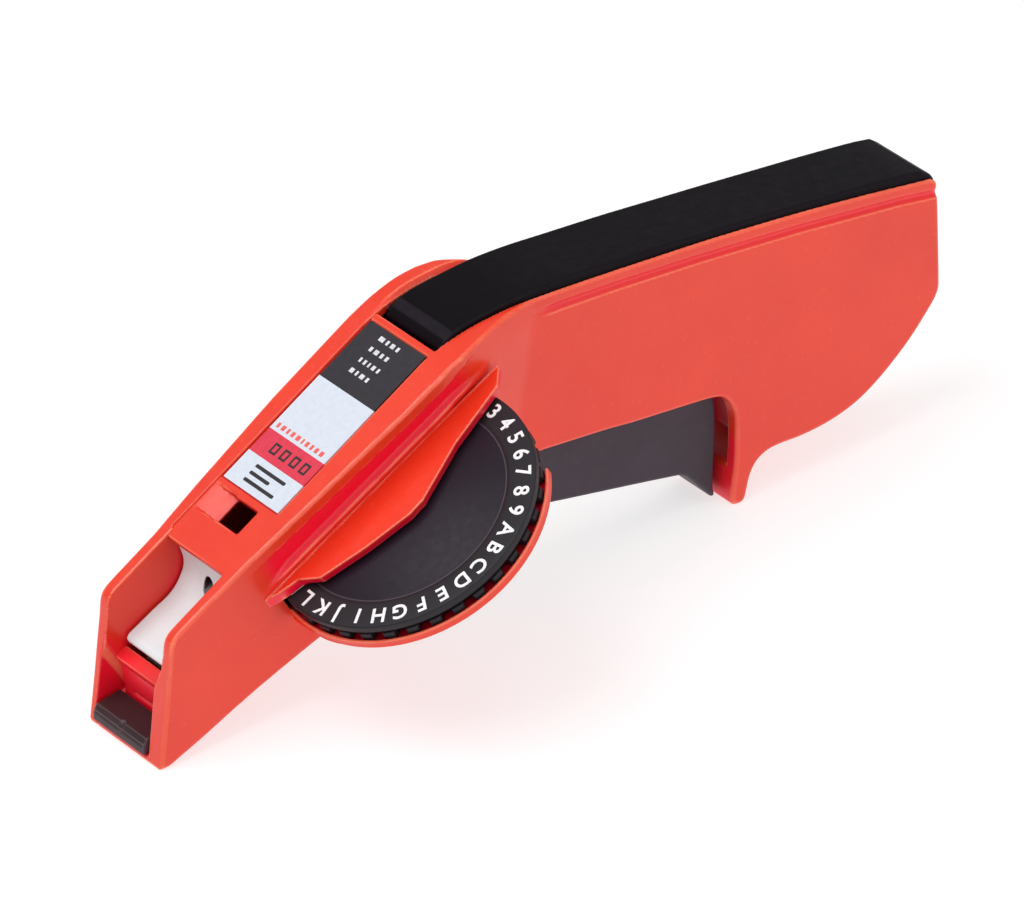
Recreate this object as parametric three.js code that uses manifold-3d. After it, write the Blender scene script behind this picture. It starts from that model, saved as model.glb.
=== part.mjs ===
// Hand-held embossing label maker with a side letter dial, a squeeze trigger under
// the handle, a hinged grip lid over the tape compartment and a thumb cut-off key.
// Units are millimetres. Every piece is drawn in the dial frame (x towards the nose,
// y towards the dial side, z square to the dial, origin at the dial centre in the
// letter plane) and the whole tool is then tipped to the way it stands on a table.
import * as THREE from 'three';
import { mergeVertices } from 'three/addons/utils/BufferGeometryUtils.js';
import Module from 'manifold-3d';

const wasm = await Module();
wasm.setup();

// ---------------------------------------------------------------- driving dimensions
const TILT = 29.66 * Math.PI / 180;      // dial plane slopes down to the nose when the tool stands
const SHIFT = [46.25, 1.55, 43.4];      // moves the bottom centre of the tool to the origin
const GAP = 0.3;                         // working gap between neighbours
const WALL = 2.0;                        // moulded wall
const MID = -18.5;                       // tape centre plane
const PLATE_Z = 13.8;                    // top of the label plate
const PART_NOSE = -28.6;                 // parting plane beside the dial and nose
const PART_HANDLE = -26.5;               // parting plane along the handle
const DIAL_R = 29.4;                     // letter disc radius
const RING_R = 27.0;                     // letter ring radius
const CHARS = 36;                        // characters round the dial
const AXLE_R = 3.0;
const TRIG_PIVOT = [29.5, -10.6];        // trigger pivot (x, z)
const TRIG_Y = [-25.0, -12.0];           // trigger width
const KEY_PIVOT = [36.8, -2.0];          // thumb key pivot (x, z)
const LID_PIVOT = [-29.6, 10.4];         // grip lid hinge (x, z)
const SPOOL = [-102, -65.5];             // tape roll centre (x, z)
const ROLL_R = 19.5;
const CHAN_Y = [-27.8, -9.4];            // nose channel between its side walls
const LID_Y = [-27.5, -9.5];             // grip lid width
const NOSE_DOWN = [Math.sin(TILT), -Math.cos(TILT)];   // world-down seen in the dial frame (x, z)

// ---------------------------------------------------------------- shape helpers
function solid(geometry) {
  let g = geometry.clone();
  g.deleteAttribute('normal');
  g.deleteAttribute('uv');
  g = mergeVertices(g, 1e-4);
  const m = new wasm.Mesh({
    numProp: 3,
    vertProperties: new Float32Array(g.attributes.position.array),
    triVerts: new Uint32Array(g.index.array),
  });
  m.merge();
  return new wasm.Manifold(m);
}
function toShape(points, holes = []) {
  const s = new THREE.Shape(points.map(([a, b]) => new THREE.Vector2(a, b)));
  for (const h of holes) s.holes.push(new THREE.Path(h.map(([a, b]) => new THREE.Vector2(a, b))));
  return s;
}
// outline given as (x, z), swept from y0 to y1
function alongY(points, y0, y1, holes = []) {
  const g = new THREE.ExtrudeGeometry(toShape(points, holes), { depth: y1 - y0, bevelEnabled: false, steps: 1 });
  g.rotateX(Math.PI / 2);
  g.translate(0, y1, 0);
  return solid(g);
}
// outline given as (x, y), swept from z0 to z1
function alongZ(points, z0, z1, holes = []) {
  const g = new THREE.ExtrudeGeometry(toShape(points, holes), { depth: z1 - z0, bevelEnabled: false, steps: 1 });
  g.translate(0, 0, z0);
  return solid(g);
}
// outline given as (y, z), swept from x0 to x1
function alongX(points, x0, x1) {
  const g = new THREE.ExtrudeGeometry(toShape(points), { depth: x1 - x0, bevelEnabled: false, steps: 1 });
  g.rotateZ(Math.PI / 2);
  g.rotateY(Math.PI / 2);
  g.translate(x0, 0, 0);
  return solid(g);
}
function box(x0, x1, y0, y1, z0, z1) {
  const g = new THREE.BoxGeometry(x1 - x0, y1 - y0, z1 - z0);
  g.translate((x0 + x1) / 2, (y0 + y1) / 2, (z0 + z1) / 2);
  return solid(g);
}
function pinY(r, x, z, y0, y1, seg = 24) {
  const g = new THREE.CylinderGeometry(r, r, y1 - y0, seg);
  g.translate(x, (y0 + y1) / 2, z);
  return solid(g);
}
function pinZ(r, x, y, z0, z1, seg = 32) {
  const g = new THREE.CylinderGeometry(r, r, z1 - z0, seg);
  g.rotateX(Math.PI / 2);
  g.translate(x, y, (z0 + z1) / 2);
  return solid(g);
}
function circle(cx, cy, r, n, a0 = 0) {
  const out = [];
  for (let i = 0; i < n; i++) {
    const a = a0 + 2 * Math.PI * i / n;
    out.push([cx + r * Math.cos(a), cy + r * Math.sin(a)]);
  }
  return out;
}
// coil spring between two points
function coil(a, b, radius, wire, turns, sides = 6, stepsPerTurn = 12) {
  const A = new THREE.Vector3(...a), B = new THREE.Vector3(...b);
  const axis = B.clone().sub(A), length = axis.length();
  axis.normalize();
  const u = (Math.abs(axis.y) > 0.9 ? new THREE.Vector3(1, 0, 0) : new THREE.Vector3(0, 1, 0)).cross(axis).normalize(), v = axis.clone().cross(u);
  class Helix extends THREE.Curve {
    getPoint(t, out = new THREE.Vector3()) {
      const an = 2 * Math.PI * turns * t;
      return out.copy(A).addScaledVector(axis, length * t)
        .addScaledVector(u, radius * Math.cos(an)).addScaledVector(v, radius * Math.sin(an));
    }
  }
  const section = new THREE.Shape(circle(0, 0, wire, sides).map(([p, q]) => new THREE.Vector2(p, q)));
  const g = new THREE.ExtrudeGeometry(section, { extrudePath: new Helix(), steps: Math.round(turns * stepsPerTurn), bevelEnabled: false });
  return solid(g);
}
// thin ribbon along a smooth (x, z) path, w wide in y
function ribbon(path, thick, y0, y1) {
  const up = [], down = [];
  for (let i = 0; i < path.length; i++) {
    const p = path[Math.max(0, i - 1)], q = path[Math.min(path.length - 1, i + 1)];
    const dx = q[0] - p[0], dz = q[1] - p[1], l = Math.hypot(dx, dz);
    up.push([path[i][0] - dz / l * thick / 2, path[i][1] + dx / l * thick / 2]);
    down.push([path[i][0] + dz / l * thick / 2, path[i][1] - dx / l * thick / 2]);
  }
  return alongY(up.concat(down.reverse()), y0, y1);
}

const root = new THREE.Group();
const tool = new THREE.Group();
tool.rotation.y = TILT;
tool.position.set(...SHIFT);
root.add(tool);
const MATS = {
  red: [0xe1452f, 0.38, 0.0], black: [0x1f1a20, 0.5, 0.0], dial: [0x453c47, 0.45, 0.0],
  trigger: [0x4c454b, 0.5, 0.0], white: [0xf0e8ec, 0.35, 0.0], steel: [0xb4b8bd, 0.3, 0.9],
  label: [0xdfe4ec, 0.4, 0.0], rubber: [0x202020, 0.85, 0.0], tape: [0x2b52a8, 0.35, 0.0],
  nylon: [0xd9d6cc, 0.5, 0.0],
};
const made = {};
function add(name, manifold, mat) {
  const m = manifold.getMesh();
  const g = new THREE.BufferGeometry();
  g.setAttribute('position', new THREE.BufferAttribute(new Float32Array(m.vertProperties), 3));
  g.setIndex(new THREE.BufferAttribute(new Uint32Array(m.triVerts), 1));
  g.computeVertexNormals();
  const [color, roughness, metalness] = MATS[mat];
  const mesh = new THREE.Mesh(g, new THREE.MeshStandardMaterial({ color, roughness, metalness }));
  mesh.name = name;
  tool.add(mesh);
  made[name] = manifold;
}

// ---------------------------------------------------------------- outlines
// side outline (x, z), anticlockwise from the lower nose
const SIDE = [
  [70.6, -9.73], [64.7, -2.2], [59.2, 5.0], [55.4, 9.9], [54.0, 11.9], [52.8, 13.1], [51.4, 13.65], [50.0, PLATE_Z],
  [-23.5, PLATE_Z], [-27.5, 13.3], [-31.5, 12.1], [-35.2, 10.9], [-38.9, 9.3], [-43.3, 7.1], [-47.6, 4.6], [-52, 1.8], [-56.5, -1.2],
  [-65, -7.0], [-75.5, -14.3], [-86.5, -22.0], [-97.3, -29.9], [-108.1, -38.0], [-121, -48.1], [-129.4, -54.9], [-135.8, -60.2],
  [-136.0, -61.3], [-134.6, -64.3], [-131.6, -70.2], [-128.3, -76.5], [-125.2, -82.4], [-124.0, -84.4], [-122.2, -85.8],
  [-117.9, -87.4], [-113.3, -88.8], [-108.9, -89.7], [-102, -90.5], [-95.7, -90.4], [-90.2, -89.2], [-85.1, -87.2],
  [-80.2, -84.6], [-75.8, -81.7], [-72.9, -80.2], [-70.2, -79.8], [-67.9, -80.5], [-65.7, -82.2], [-64.0, -84.0], [-62.2, -85.36],
  [-59.9, -84.05], [-60.2, -82.4], [-64.8, -76.2], [-68.5, -70.2], [-71.2, -64.8], [-71.6, -61.0], [-70.9, -58.4], [-69.2, -56.5],
  [-62, -51.0], [-53.4, -44.7], [-44.9, -38.4], [-36.4, -32.2], [-32.2, -29.2], [-27, -26.2], [-20, -23.5], [-10, -21.2],
  [0, -19.9], [14, -18.4], [27.8, -16.7], [38.6, -15.1], [49.6, -13.6], [60.5, -12.2], [66, -11.35], [68.4, -10.98],
];
// plan outline (x, y): near flank then far flank
const PLAN = [
  [73, -6.5], [44, -6.5], [30, -6.2], [16, -5.2], [3, -4.2], [-11, -3.3], [-22, -2.8], [-28, -3.1], [-33, -4.3], [-38, -6.0],
  [-43, -7.6], [-48, -8.4], [-60, -8.6], [-140, -8.9],
  [-140, -28.6], [-60, -28.6], [-48, -28.8], [-42, -29.8], [-36, -31.3], [-30, -32.7], [-24, -33.3], [0, -33.5],
  [20, -33.4], [30, -32.6], [44, -31.3], [73, -31.0],
];
// cavity outline (x, z)
const CAVITY = [
  [29.8, 11.7], [-22.5, 11.7], [-28, 11.1], [-33, 9.6], [-39, 7.0], [-48, 2.1], [-57, -3.7], [-66, -9.9], [-87.5, -25.0],
  [-109.5, -41.4], [-122.2, -51.5], [-132.2, -59.7], [-133.2, -62.3], [-129.9, -69.1], [-126.4, -75.8], [-122.6, -83.0], [-119.5, -84.9],
  [-113.3, -86.7], [-102, -88.4], [-95.9, -88.3], [-91, -87.2], [-86, -85.3], [-80.8, -82.5], [-75.8, -79.2], [-75.2, -66.0],
  [-74.2, -60.5], [-72.9, -57.4], [-70.6, -54.9], [-63, -49.3], [-46, -36.7], [-37.5, -30.4], [-33.1, -27.3], [-27.8, -24.3],
  [-20.7, -21.6], [-10.4, -19.3], [0, -18.0], [14, -16.5], [29.8, -14.4],
];
const CAV_PLAN = [
  [34, -8.5], [16, -7.3], [3, -6.3], [-11, -5.4], [-22, -4.9], [-28, -5.2], [-33, -6.4], [-38, -8.1], [-43, -9.7], [-48, -10.4],
  [-60, -10.6], [-140, -10.8],
  [-140, -26.3], [-60, -26.5], [-48, -26.7], [-42, -27.6], [-36, -29.1], [-30, -30.6], [-24, -31.3], [0, -31.5],
  [20, -31.4], [30, -30.6], [34, -30.4],
];
const outer = alongY(SIDE, -36, 1).intersect(alongZ(PLAN, -100, 40));
const cavity = alongY(CAVITY, -36, 1).intersect(alongZ(CAV_PLAN, -100, 40));
const coverZone = alongZ([[80, PART_NOSE], [-41, PART_NOSE], [-44, PART_HANDLE], [-160, PART_HANDLE], [-160, -60], [80, -60]], -110, 50);
const mainZone = alongZ([[80, PART_NOSE + GAP], [-41, PART_NOSE + GAP], [-44, PART_HANDLE + GAP], [-160, PART_HANDLE + GAP], [-160, 20], [80, 20]], -110, 50);

// nose channel: open on top and in front, floor, cross wall and a pocket for the exit block
const chanUpper = alongY([[35.5, 30], [90, 30], [90, -0.6], [57.0, -0.5], [55.9, -1.1], [35.5, -1.1]], CHAN_Y[0], CHAN_Y[1]);
const chanLower = alongY([[30.9, -6.2], [30.9, -14.2], [38.6, -13.0], [49.6, -11.5], [60.2, -10.4], [61.2, -9.6], [55.9, -1.0], [32.9, -1.0], [32.9, 11.7], [36, 11.7], [36, -1.0], [32.9, -6.2]].filter((p, i) => i < 8), CHAN_Y[0], CHAN_Y[1]);
const keyWell = box(32.9, 36.0, CHAN_Y[0], CHAN_Y[1], -3, 11.7);
const pocket = alongY([[57.0, -0.5], [61.9, -8.4], [62.6, -10.0], [66.4, -9.55], [69.9, -8.85], [73, -8.85], [90, -2], [90, 10], [57, 10]], CHAN_Y[0], CHAN_Y[1]);
const exitSlot = alongY([[54, -4.6], [66, -6.6], [66, -8.0], [60.6, -8.6], [54, -7.6]], -24, -13);
const tapeDoor = box(29.0, 34.0, -24, -13, -4.8, -1.0).add(box(28.0, 33.6, TRIG_Y[0] - 0.5, TRIG_Y[1] + 0.5, -14.25, -7.0));
const noseCuts = chanUpper.add(chanLower).add(keyWell).add(pocket).add(exitSlot).add(tapeDoor);
// the mouth sits a little to the far side: its near wall thickens forwards and its far wall thins
const nearPad = alongZ([[56.2, -9.2], [60.0, -11.3], [64.0, -11.15], [72.0, -10.95], [72.0, -9.2]], -20, 20);
const farRelief = alongZ([[57.4, -27.6], [61.6, -28.8], [73.0, -28.9], [73.0, -27.6]], -8.9, 20);

// window pit and its slanted bank
const windowCut = box(21.0, 27.1, -21.3, -14.1, 5, 20);
const bank = alongX([[-28.25, PLATE_Z + 0.01], [-21.2, 12.35], [-21.2, 20], [-28.25, 20]], 21.0, 27.1);
const labelSeat = box(-25.0, 19.2, -28.0, -9.6, PLATE_Z - 0.8, 20);

// grip lid opening on top of the handle
const lidOpen = alongY([[-26.7, 30], [-26.7, 9.6], [-30, 8.4], [-39, 4.8], [-48, -0.5], [-57, -6.2], [-66, -12.4], [-87.5, -27.5], [-109.5, -44],
  [-122.2, -54.1], [-130.6, -61.0], [-133.9, -62.2], [-150, -62.9], [-150, 30]], LID_Y[0] - GAP, LID_Y[1] + GAP);
// slot under the handle for the trigger, running a little way into the rear prong
const trigSlot = alongY([[-2, -10], [-2, -40], [-30, -60], [-58.9, -86], [-58.9, -83], [-61.7, -78.4], [-65, -76.8], [-71.5, -76.6], [-74.8, -70], [-78, -60], [-73, -48], [-40, -24]],
  TRIG_Y[0] - 0.5, TRIG_Y[1] + 0.5);
// slot in the near flank for the letter discs
const dialSlot = alongZ(circle(0, 0, DIAL_R + 0.7, 64), -5.0, 0.35);

// screw posts between the two housings (x, z)
const POSTS = [[-8, 7.6], [-58, -15.0], [-80.5, -76.0], [-127.6, -67.0]];

// ---------------------------------------------------------------- main housing
let main = outer.subtract(cavity).intersect(mainZone);
main = main.subtract(noseCuts.subtract(nearPad)).subtract(farRelief).subtract(windowCut).subtract(bank).subtract(labelSeat).subtract(lidOpen).subtract(trigSlot).subtract(dialSlot);
// screw posts stand from the near wall
const postNear = (x, z, y1, y0) => pinY(3.0, x, z, y0, y1, 20).subtract(pinY(1.7, x, z, y0 - 1, y1 - 4, 16));
main = main.add(postNear(POSTS[0][0], POSTS[0][1], -4.6, PART_NOSE + GAP));
for (const [x, z] of POSTS.slice(1)) main = main.add(postNear(x, z, -9.5, PART_HANDLE + GAP));
// spool peg post and spring seat bar
main = main.add(pinY(4.0, SPOOL[0], SPOOL[1], -13.2, -10, 24)).subtract(pinY(1.7, SPOOL[0], SPOOL[1], -30, -10.9, 16));
main = main.add(box(-47.5, -40.5, PART_HANDLE + GAP, -9.6, -15.6, -13.6));
// bridging ribs that carry the pins at the nose
main = main.subtract(pinY(1.35, TRIG_PIVOT[0], TRIG_PIVOT[1], -30, -7.6, 20));
main = main.subtract(pinY(1.25, KEY_PIVOT[0], KEY_PIVOT[1], -30, -8.0, 20));
main = main.subtract(pinY(1.3, LID_PIVOT[0], LID_PIVOT[1], -30, -5.0, 20));
main = main.subtract(pinY(1.0, 44, -7.9, -30, -8.0, 16)).subtract(pinY(0.9, 44, -2.9, -30, -8.0, 16)).subtract(pinY(0.9, 50.4, -7.6, -30, -8.0, 16));
add('main_housing', main, 'red');

// ---------------------------------------------------------------- side cover (far side)
let cover = outer.subtract(cavity).intersect(coverZone);
cover = cover.subtract(alongY([[35.5, 30], [90, 30], [90, -0.6], [57.0, -0.5], [55.9, -1.1], [35.5, -1.1]], CHAN_Y[0], CHAN_Y[1]));
cover = cover.subtract(farRelief).subtract(lidOpen).subtract(dialSlot).subtract(pinY(1.35, TRIG_PIVOT[0], TRIG_PIVOT[1], -31, -20, 20)).subtract(pinY(1.3, LID_PIVOT[0], LID_PIVOT[1], -31, -20, 20));
for (const [x, z] of POSTS.slice(1)) cover = cover.subtract(pinY(1.7, x, z, -40, -20, 16)).subtract(pinY(3.1, x, z, -40, -27.25, 24));
cover = cover.add(pinY(3.6, POSTS[0][0], POSTS[0][1], -32.2, PART_NOSE, 20)).subtract(pinY(1.7, POSTS[0][0], POSTS[0][1], -40, -20, 16)).subtract(pinY(3.1, POSTS[0][0], POSTS[0][1], -40, -32.4, 24));
add('side_cover', cover, 'red');

// ---------------------------------------------------------------- housing screws
const screw = (x, z, yHead, yTip) => pinY(2.7, x, z, yHead - 0.1, yHead + 0.75, 20).add(pinY(1.3, x, z, yHead + 0.5, yTip, 12))
  .subtract(box(x - 2.0, x + 2.0, yHead - 1, yHead + 0.3, z - 0.3, z + 0.3)).subtract(box(x - 0.3, x + 0.3, yHead - 1, yHead + 0.3, z - 2.0, z + 2.0));
add('housing_screw_1', screw(...POSTS[0], -33.3, -16), 'steel');
add('housing_screw_2', screw(...POSTS[1], -28.5, -18), 'steel');
add('housing_screw_3', screw(...POSTS[2], -28.5, -18), 'steel');
add('housing_screw_4', screw(...POSTS[3], -28.5, -18), 'steel');

// ---------------------------------------------------------------- grip lid
const lidTop = [[-27.1, 11.2], [-28.2, 12.4], [-30.2, 13.2], [-33.5, 12.6], [-38.0, 11.0], [-43.0, 8.7], [-48.4, 6.0], [-56.2, 1.2], [-64.6, -4.7], [-77.2, -13.6], [-90, -23.0],
  [-98.6, -29.4], [-111.5, -39.3], [-120.1, -46.0], [-132.6, -56.0], [-135.4, -58.6], [-136.2, -60.4], [-136.0, -61.9]];
const lidBottom = [[-133.9, -61.6], [-133.2, -59.8], [-121.8, -50.4], [-109.0, -40.2], [-87.0, -23.9], [-65.6, -8.6], [-56.6, -2.6], [-47.4, 3.2], [-38.4, 7.9], [-33.2, 9.8], [-30.6, 9.2], [-29.4, 8.5], [-28.0, 8.9], [-27.1, 9.9]];
let lid = alongY(lidTop.concat(lidBottom), LID_Y[0], LID_Y[1]);
lid = lid.subtract(pinY(1.3, LID_PIVOT[0], LID_PIVOT[1], -30, -5, 20));
// two hook feet at the rear of the lid
lid = lid.add(alongY([[-126, -53.2], [-124.0, -51.6], [-123.4, -56.6], [-125.2, -58.0]], -24.5, -21.5)).add(alongY([[-126, -53.2], [-124.0, -51.6], [-123.4, -56.6], [-125.2, -58.0]], -15.5, -12.5));
add('grip_lid', lid, 'black');
add('lid_hinge_pin', pinY(1.0, LID_PIVOT[0], LID_PIVOT[1], -30.0, -6.6, 20), 'steel');

// ---------------------------------------------------------------- label strip
add('label_strip', box(-24.7, 18.9, -27.7, -9.9, PLATE_Z - 0.5, PLATE_Z - 0.05), 'label');

// ---------------------------------------------------------------- dial bridge and guard
// triangular shelf that carries the upper end of the axle
let bridge = alongZ([[32.6, -5.9], [29.4, -4.6], [25.2, -3.4], [22.3, 0.6], [12, 3.9], [-0.2, 6.6], [-2.6, 6.4], [-16, 2.2], [-30.6, -0.2], [-34.0, -3.4], [-33, -3.95], [-28, -2.75], [-22, -2.45], [-11, -2.95], [3, -3.85], [16, -4.85], [30, -5.9]], 0.45, 3.2);
bridge = bridge.subtract(pinZ(AXLE_R - 1.4, 0, 0, -1, 2.3, 24));
add('dial_bridge', bridge, 'red');
// half-round tray under the dial with a raised foot against the flank
const guardRim = [];
for (let i = 0; i <= 48; i++) {
  const a = -0.2 + (Math.PI + 0.4) * i / 48;
  guardRim.push([30.4 * Math.cos(a), 30.4 * Math.sin(a)]);
}
let guard = alongZ(guardRim, -6.9, -5.15);
guard = guard.subtract(alongZ([[80, -6.2], [30, -5.9], [16, -4.9], [3, -3.9], [-11, -3.0], [-22, -2.5], [-28, -2.8], [-33, -4.0], [-40, -6.2], [-40, -40], [80, -40]], -20, 10));
guard = guard.subtract(pinZ(2.0, 0, 0, -8, -6.1, 24).add(pinZ(AXLE_R - 1.2, 0, 0, -8, 0, 24)));
guard = guard.add(alongZ([[30.0, -5.6], [30.6, -4.8], [29.9, 5.2], [29.0, 8.2], [24.0, 12.0], [-24.0, 12.0], [-29.0, 8.2], [-31.0, -2.9], [-28, -2.6], [-22, -2.3], [-11, -2.8], [3, -3.7], [16, -4.7]], -9.4, -6.9).subtract(pinZ(4.2, 0, 0, -12, -6.0, 24)));
add('dial_guard', guard, 'red');

// ---------------------------------------------------------------- letter discs
function gear(rOut, rIn, teeth, frac = 0.5) {
  const out = [];
  for (let i = 0; i < teeth; i++) {
    const a = 2 * Math.PI * (i + 0.5) / teeth, h = Math.PI / teeth;
    out.push([rIn * Math.cos(a - h * 0.98), rIn * Math.sin(a - h * 0.98)]);
    out.push([rIn * Math.cos(a - h * 0.62), rIn * Math.sin(a - h * 0.62)]);
    out.push([rOut * Math.cos(a - h * 0.42), rOut * Math.sin(a - h * 0.42)]);
    out.push([rOut * Math.cos(a + h * 0.42), rOut * Math.sin(a + h * 0.42)]);
    out.push([rIn * Math.cos(a + h * 0.62), rIn * Math.sin(a + h * 0.62)]);
  }
  return out;
}
let upper = alongZ(circle(0, 0, DIAL_R, 72), -1.8, 0).add(pinZ(6.0, 0, 0, -2.4, -1.0, 36));
upper = upper.subtract(pinZ(AXLE_R + 0.08, 0, 0, -6, 6, 32));
add('letter_disc_upper', upper, 'dial');
let lower = alongZ(gear(DIAL_R, DIAL_R - 1.5, CHARS), -4.8, -2.75);
lower = lower.subtract(pinZ(AXLE_R + 0.08, 0, 0, -6, 6, 32));
add('letter_disc_lower', lower, 'dial');
let axle = pinZ(AXLE_R, 0, 0, -5.0, 0.15, 32).add(pinZ(AXLE_R - 1.6, 0, 0, -6.0, 2.1, 24));
axle = axle.subtract(pinZ(0.8, 0, 0, -7, -1, 16));
add('dial_axle', axle, 'steel');
add('dial_axle_screw', pinZ(3.0, 0, 0, -8.4, -7.3, 24).add(pinZ(1.3, 0, 0, -7.6, -6.3, 16)).subtract(box(-2.5, 2.5, -0.35, 0.35, -9, -8.0)), 'steel');
// detent leaf that clicks into the gaps of the lower disc, inside the flank
add('dial_detent_leaf', alongZ([[-27.6, -16.6], [-29.6, -13.4], [-30.0, -10.2], [-30.6, -10.1], [-30.3, -13.6], [-28.4, -16.9]], -4.4, -3.0), 'steel');

// ---------------------------------------------------------------- trigger
const TRIGGER = [
  [28.4, -11.4], [26.6, -11.8], [12, -11.8], [0, -13.2], [-12, -15.6], [-24, -20.0], [-34, -25.8], [-50, -37.8], [-66, -49.8], [-69.6, -53.0], [-70.6, -56.4], [-70.4, -60.8],
  [-68.2, -65.4], [-64.2, -72.0], [-59.7, -79.2], [-58.9, -81.2], [-58.3, -80.6], [-57.9, -75.5], [-57.6, -70.2],
  [-56.6, -68.2], [-53.2, -65.0], [-28.3, -43.0], [-16, -32.1], [-5.6, -22.9], [-3.2, -18.6], [0, -17.5], [14, -15.9], [28.2, -13.3],
];
let trigger = alongY(TRIGGER, TRIG_Y[0], TRIG_Y[1]).add(pinY(3.0, TRIG_PIVOT[0], TRIG_PIVOT[1], TRIG_Y[0], TRIG_Y[1], 28));
trigger = trigger.subtract(pinY(1.58, TRIG_PIVOT[0], TRIG_PIVOT[1], -30, 0, 20));
// the trigger is a channel, open towards the handle
trigger = trigger.subtract(alongY([[-12, 0], [-12, -27], [-30, -41.5], [-55, -63.3], [-59.4, -68.6], [-67.5, -62], [-68.3, -57], [-66, -20]], TRIG_Y[0] + 1.8, TRIG_Y[1] - 1.8));
trigger = trigger.add(box(-47.2, -40.8, TRIG_Y[0] + 1.0, TRIG_Y[1] - 1.0, -37.0, -35.2));
add('trigger', trigger, 'trigger');
add('trigger_pivot_pin', pinY(1.2, TRIG_PIVOT[0], TRIG_PIVOT[1], -30.4, -8.0, 20), 'steel');
add('trigger_return_spring', coil([-44, -18.5, -34.4], [-44, -18.5, -16.3], 3.0, 0.45, 6), 'steel');

// ---------------------------------------------------------------- embossing hammer, guide and anvil
add('hammer', box(16.2, 23.2, -22.5, -14.5, -9.0, -6.95).add(box(17.7, 21.7, -20.5, -16.5, -11.45, -8.0)), 'steel');
add('hammer_guide', box(13.6, 26.2, -27.6, -9.6, -8.7, -7.3).subtract(box(15.9, 23.5, -22.8, -14.2, -12, -4)), 'nylon');
add('anvil_frame', box(13.5, 29.0, -28.0, -8.8, 0.45, 2.4).add(box(13.5, 15.6, -28.0, -25, 2.0, 11.3)).add(box(13.5, 15.6, -12.4, -9.6, 2.0, 11.3))
  .subtract(box(17.0, 26.6, -21.9, -14.4, -1, 5)), 'steel');

// ---------------------------------------------------------------- tape, roll and spool
add('spool_axle', pinY(1.4, SPOOL[0], SPOOL[1], -25.9, -11.2, 20).add(pinY(3.4, SPOOL[0], SPOOL[1], -13.9, -13.5, 24)), 'steel');
add('spool_hub', pinY(8.0, SPOOL[0], SPOOL[1], -24.4, -14.4, 40).subtract(pinY(1.5, SPOOL[0], SPOOL[1], -30, 0, 20)).subtract(pinY(6.6, SPOOL[0], SPOOL[1], -30, -20.5, 32)), 'nylon');
add('tape_roll', pinY(ROLL_R, SPOOL[0], SPOOL[1], -23.2, -13.9, 64).subtract(pinY(8.3, SPOOL[0], SPOOL[1], -30, 0, 40)).subtract(pinY(9.2, SPOOL[0], SPOOL[1], -15.0, 0, 40)), 'tape');
const tapePath = [[-113.6, -48.3], [-104.5, -41.4], [-90, -30.6], [-75, -19.4], [-64, -11.4], [-58, -7.2], [-52, -4.3], [-45, -2.9], [-36, -2.3], [-28, -2.25], [22, -2.25], [27, -2.55], [31.5, -3.5], [36, -4.55], [40, -4.9], [44, -5.02], [50, -5.6], [56.2, -6.2]];
add('tape_run', ribbon(tapePath, 0.24, -23.0, -14.0), 'tape');

// ---------------------------------------------------------------- feed rollers and ratchet
add('feed_roller', pinY(2.55, 44, -7.95, -23.2, -13.8, 32).subtract(pinY(1.35, 44, -7.95, -30, 0, 20)), 'rubber');
add('feed_shaft', pinY(1.1, 44, -7.95, -27.2, -10.0, 20), 'steel');
const ratchet = [];
for (let i = 0; i < 12; i++) {
  const a = 2 * Math.PI * i / 12;
  ratchet.push([44 + 2.7 * Math.cos(a), -7.95 + 2.7 * Math.sin(a)], [44 + 3.6 * Math.cos(a + 0.08), -7.95 + 3.6 * Math.sin(a + 0.08)]);
}
add('feed_ratchet', alongY(ratchet, -25.8, -24.2).subtract(pinY(1.35, 44, -7.95, -30, 0, 20)), 'nylon');
add('feed_pawl', pinY(1.3, 50.4, -7.6, -25.9, -24.1, 16).add(alongY([[50.0, -8.6], [50.9, -6.6], [49.2, -4.6], [47.9, -5.2], [48.6, -6.4]], -25.8, -24.2)).subtract(pinY(0.75, 50.4, -7.6, -30, 0, 14)), 'steel');
add('pawl_pin', pinY(0.5, 50.4, -7.6, -27.3, -9.8, 14), 'steel');
add('pressure_roller', pinY(1.55, 44, -3.05, -23.0, -14.0, 28).subtract(pinY(0.85, 44, -3.05, -30, 0, 16)), 'rubber');
add('pressure_shaft', pinY(0.65, 44, -3.05, -27.2, -10.0, 16), 'steel');

// ---------------------------------------------------------------- cut-off key and blade
const KEY = [
  [55.1, 1.2], [54.9, 2.2], [54.0, 2.7], [51, 2.6], [47, 2.45], [43.5, 2.2], [41, 2.5], [38.9, 3.3], [37.0, 4.6], [35.8, 6.4], [35.1, 9.2], [34.6, 10.9], [33.4, 10.9],
  [33.4, 4.0], [34.4, -1.4], [36.0, -3.9], [38.0, -3.6], [38.9, -1.6], [40.6, 0.3], [46, 0.5], [53.4, 0.6],
];
add('cut_key', alongY(KEY, CHAN_Y[0] + 0.35, CHAN_Y[1] - 0.35).subtract(pinY(1.25, KEY_PIVOT[0], KEY_PIVOT[1], -40, 0, 20)).subtract(box(33.0, 39.3, -26.4, -23.6, -6, 0.25)), 'white');
add('cut_key_spring', coil([KEY_PIVOT[0], -26.0, KEY_PIVOT[1]], [KEY_PIVOT[0], -24.1, KEY_PIVOT[1]], 1.55, 0.24, 2.6, 6, 14), 'steel');
add('cut_key_pin', pinY(0.9, KEY_PIVOT[0], KEY_PIVOT[1], -28.2, -8.3, 20), 'steel');
const dn = NOSE_DOWN, nr = [dn[1], -dn[0]];
const along = (p, t, n) => [p[0] + dn[0] * t + nr[0] * n, p[1] + dn[1] * t + nr[1] * n];
const bp = [54.95, -2.3];
add('cutter_blade', alongY([along(bp, 0, 0), along(bp, 0, 0.45), along(bp, 2.9, 0.45), along(bp, 3.5, 0)], -24.0, -13.0), 'steel');
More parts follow.
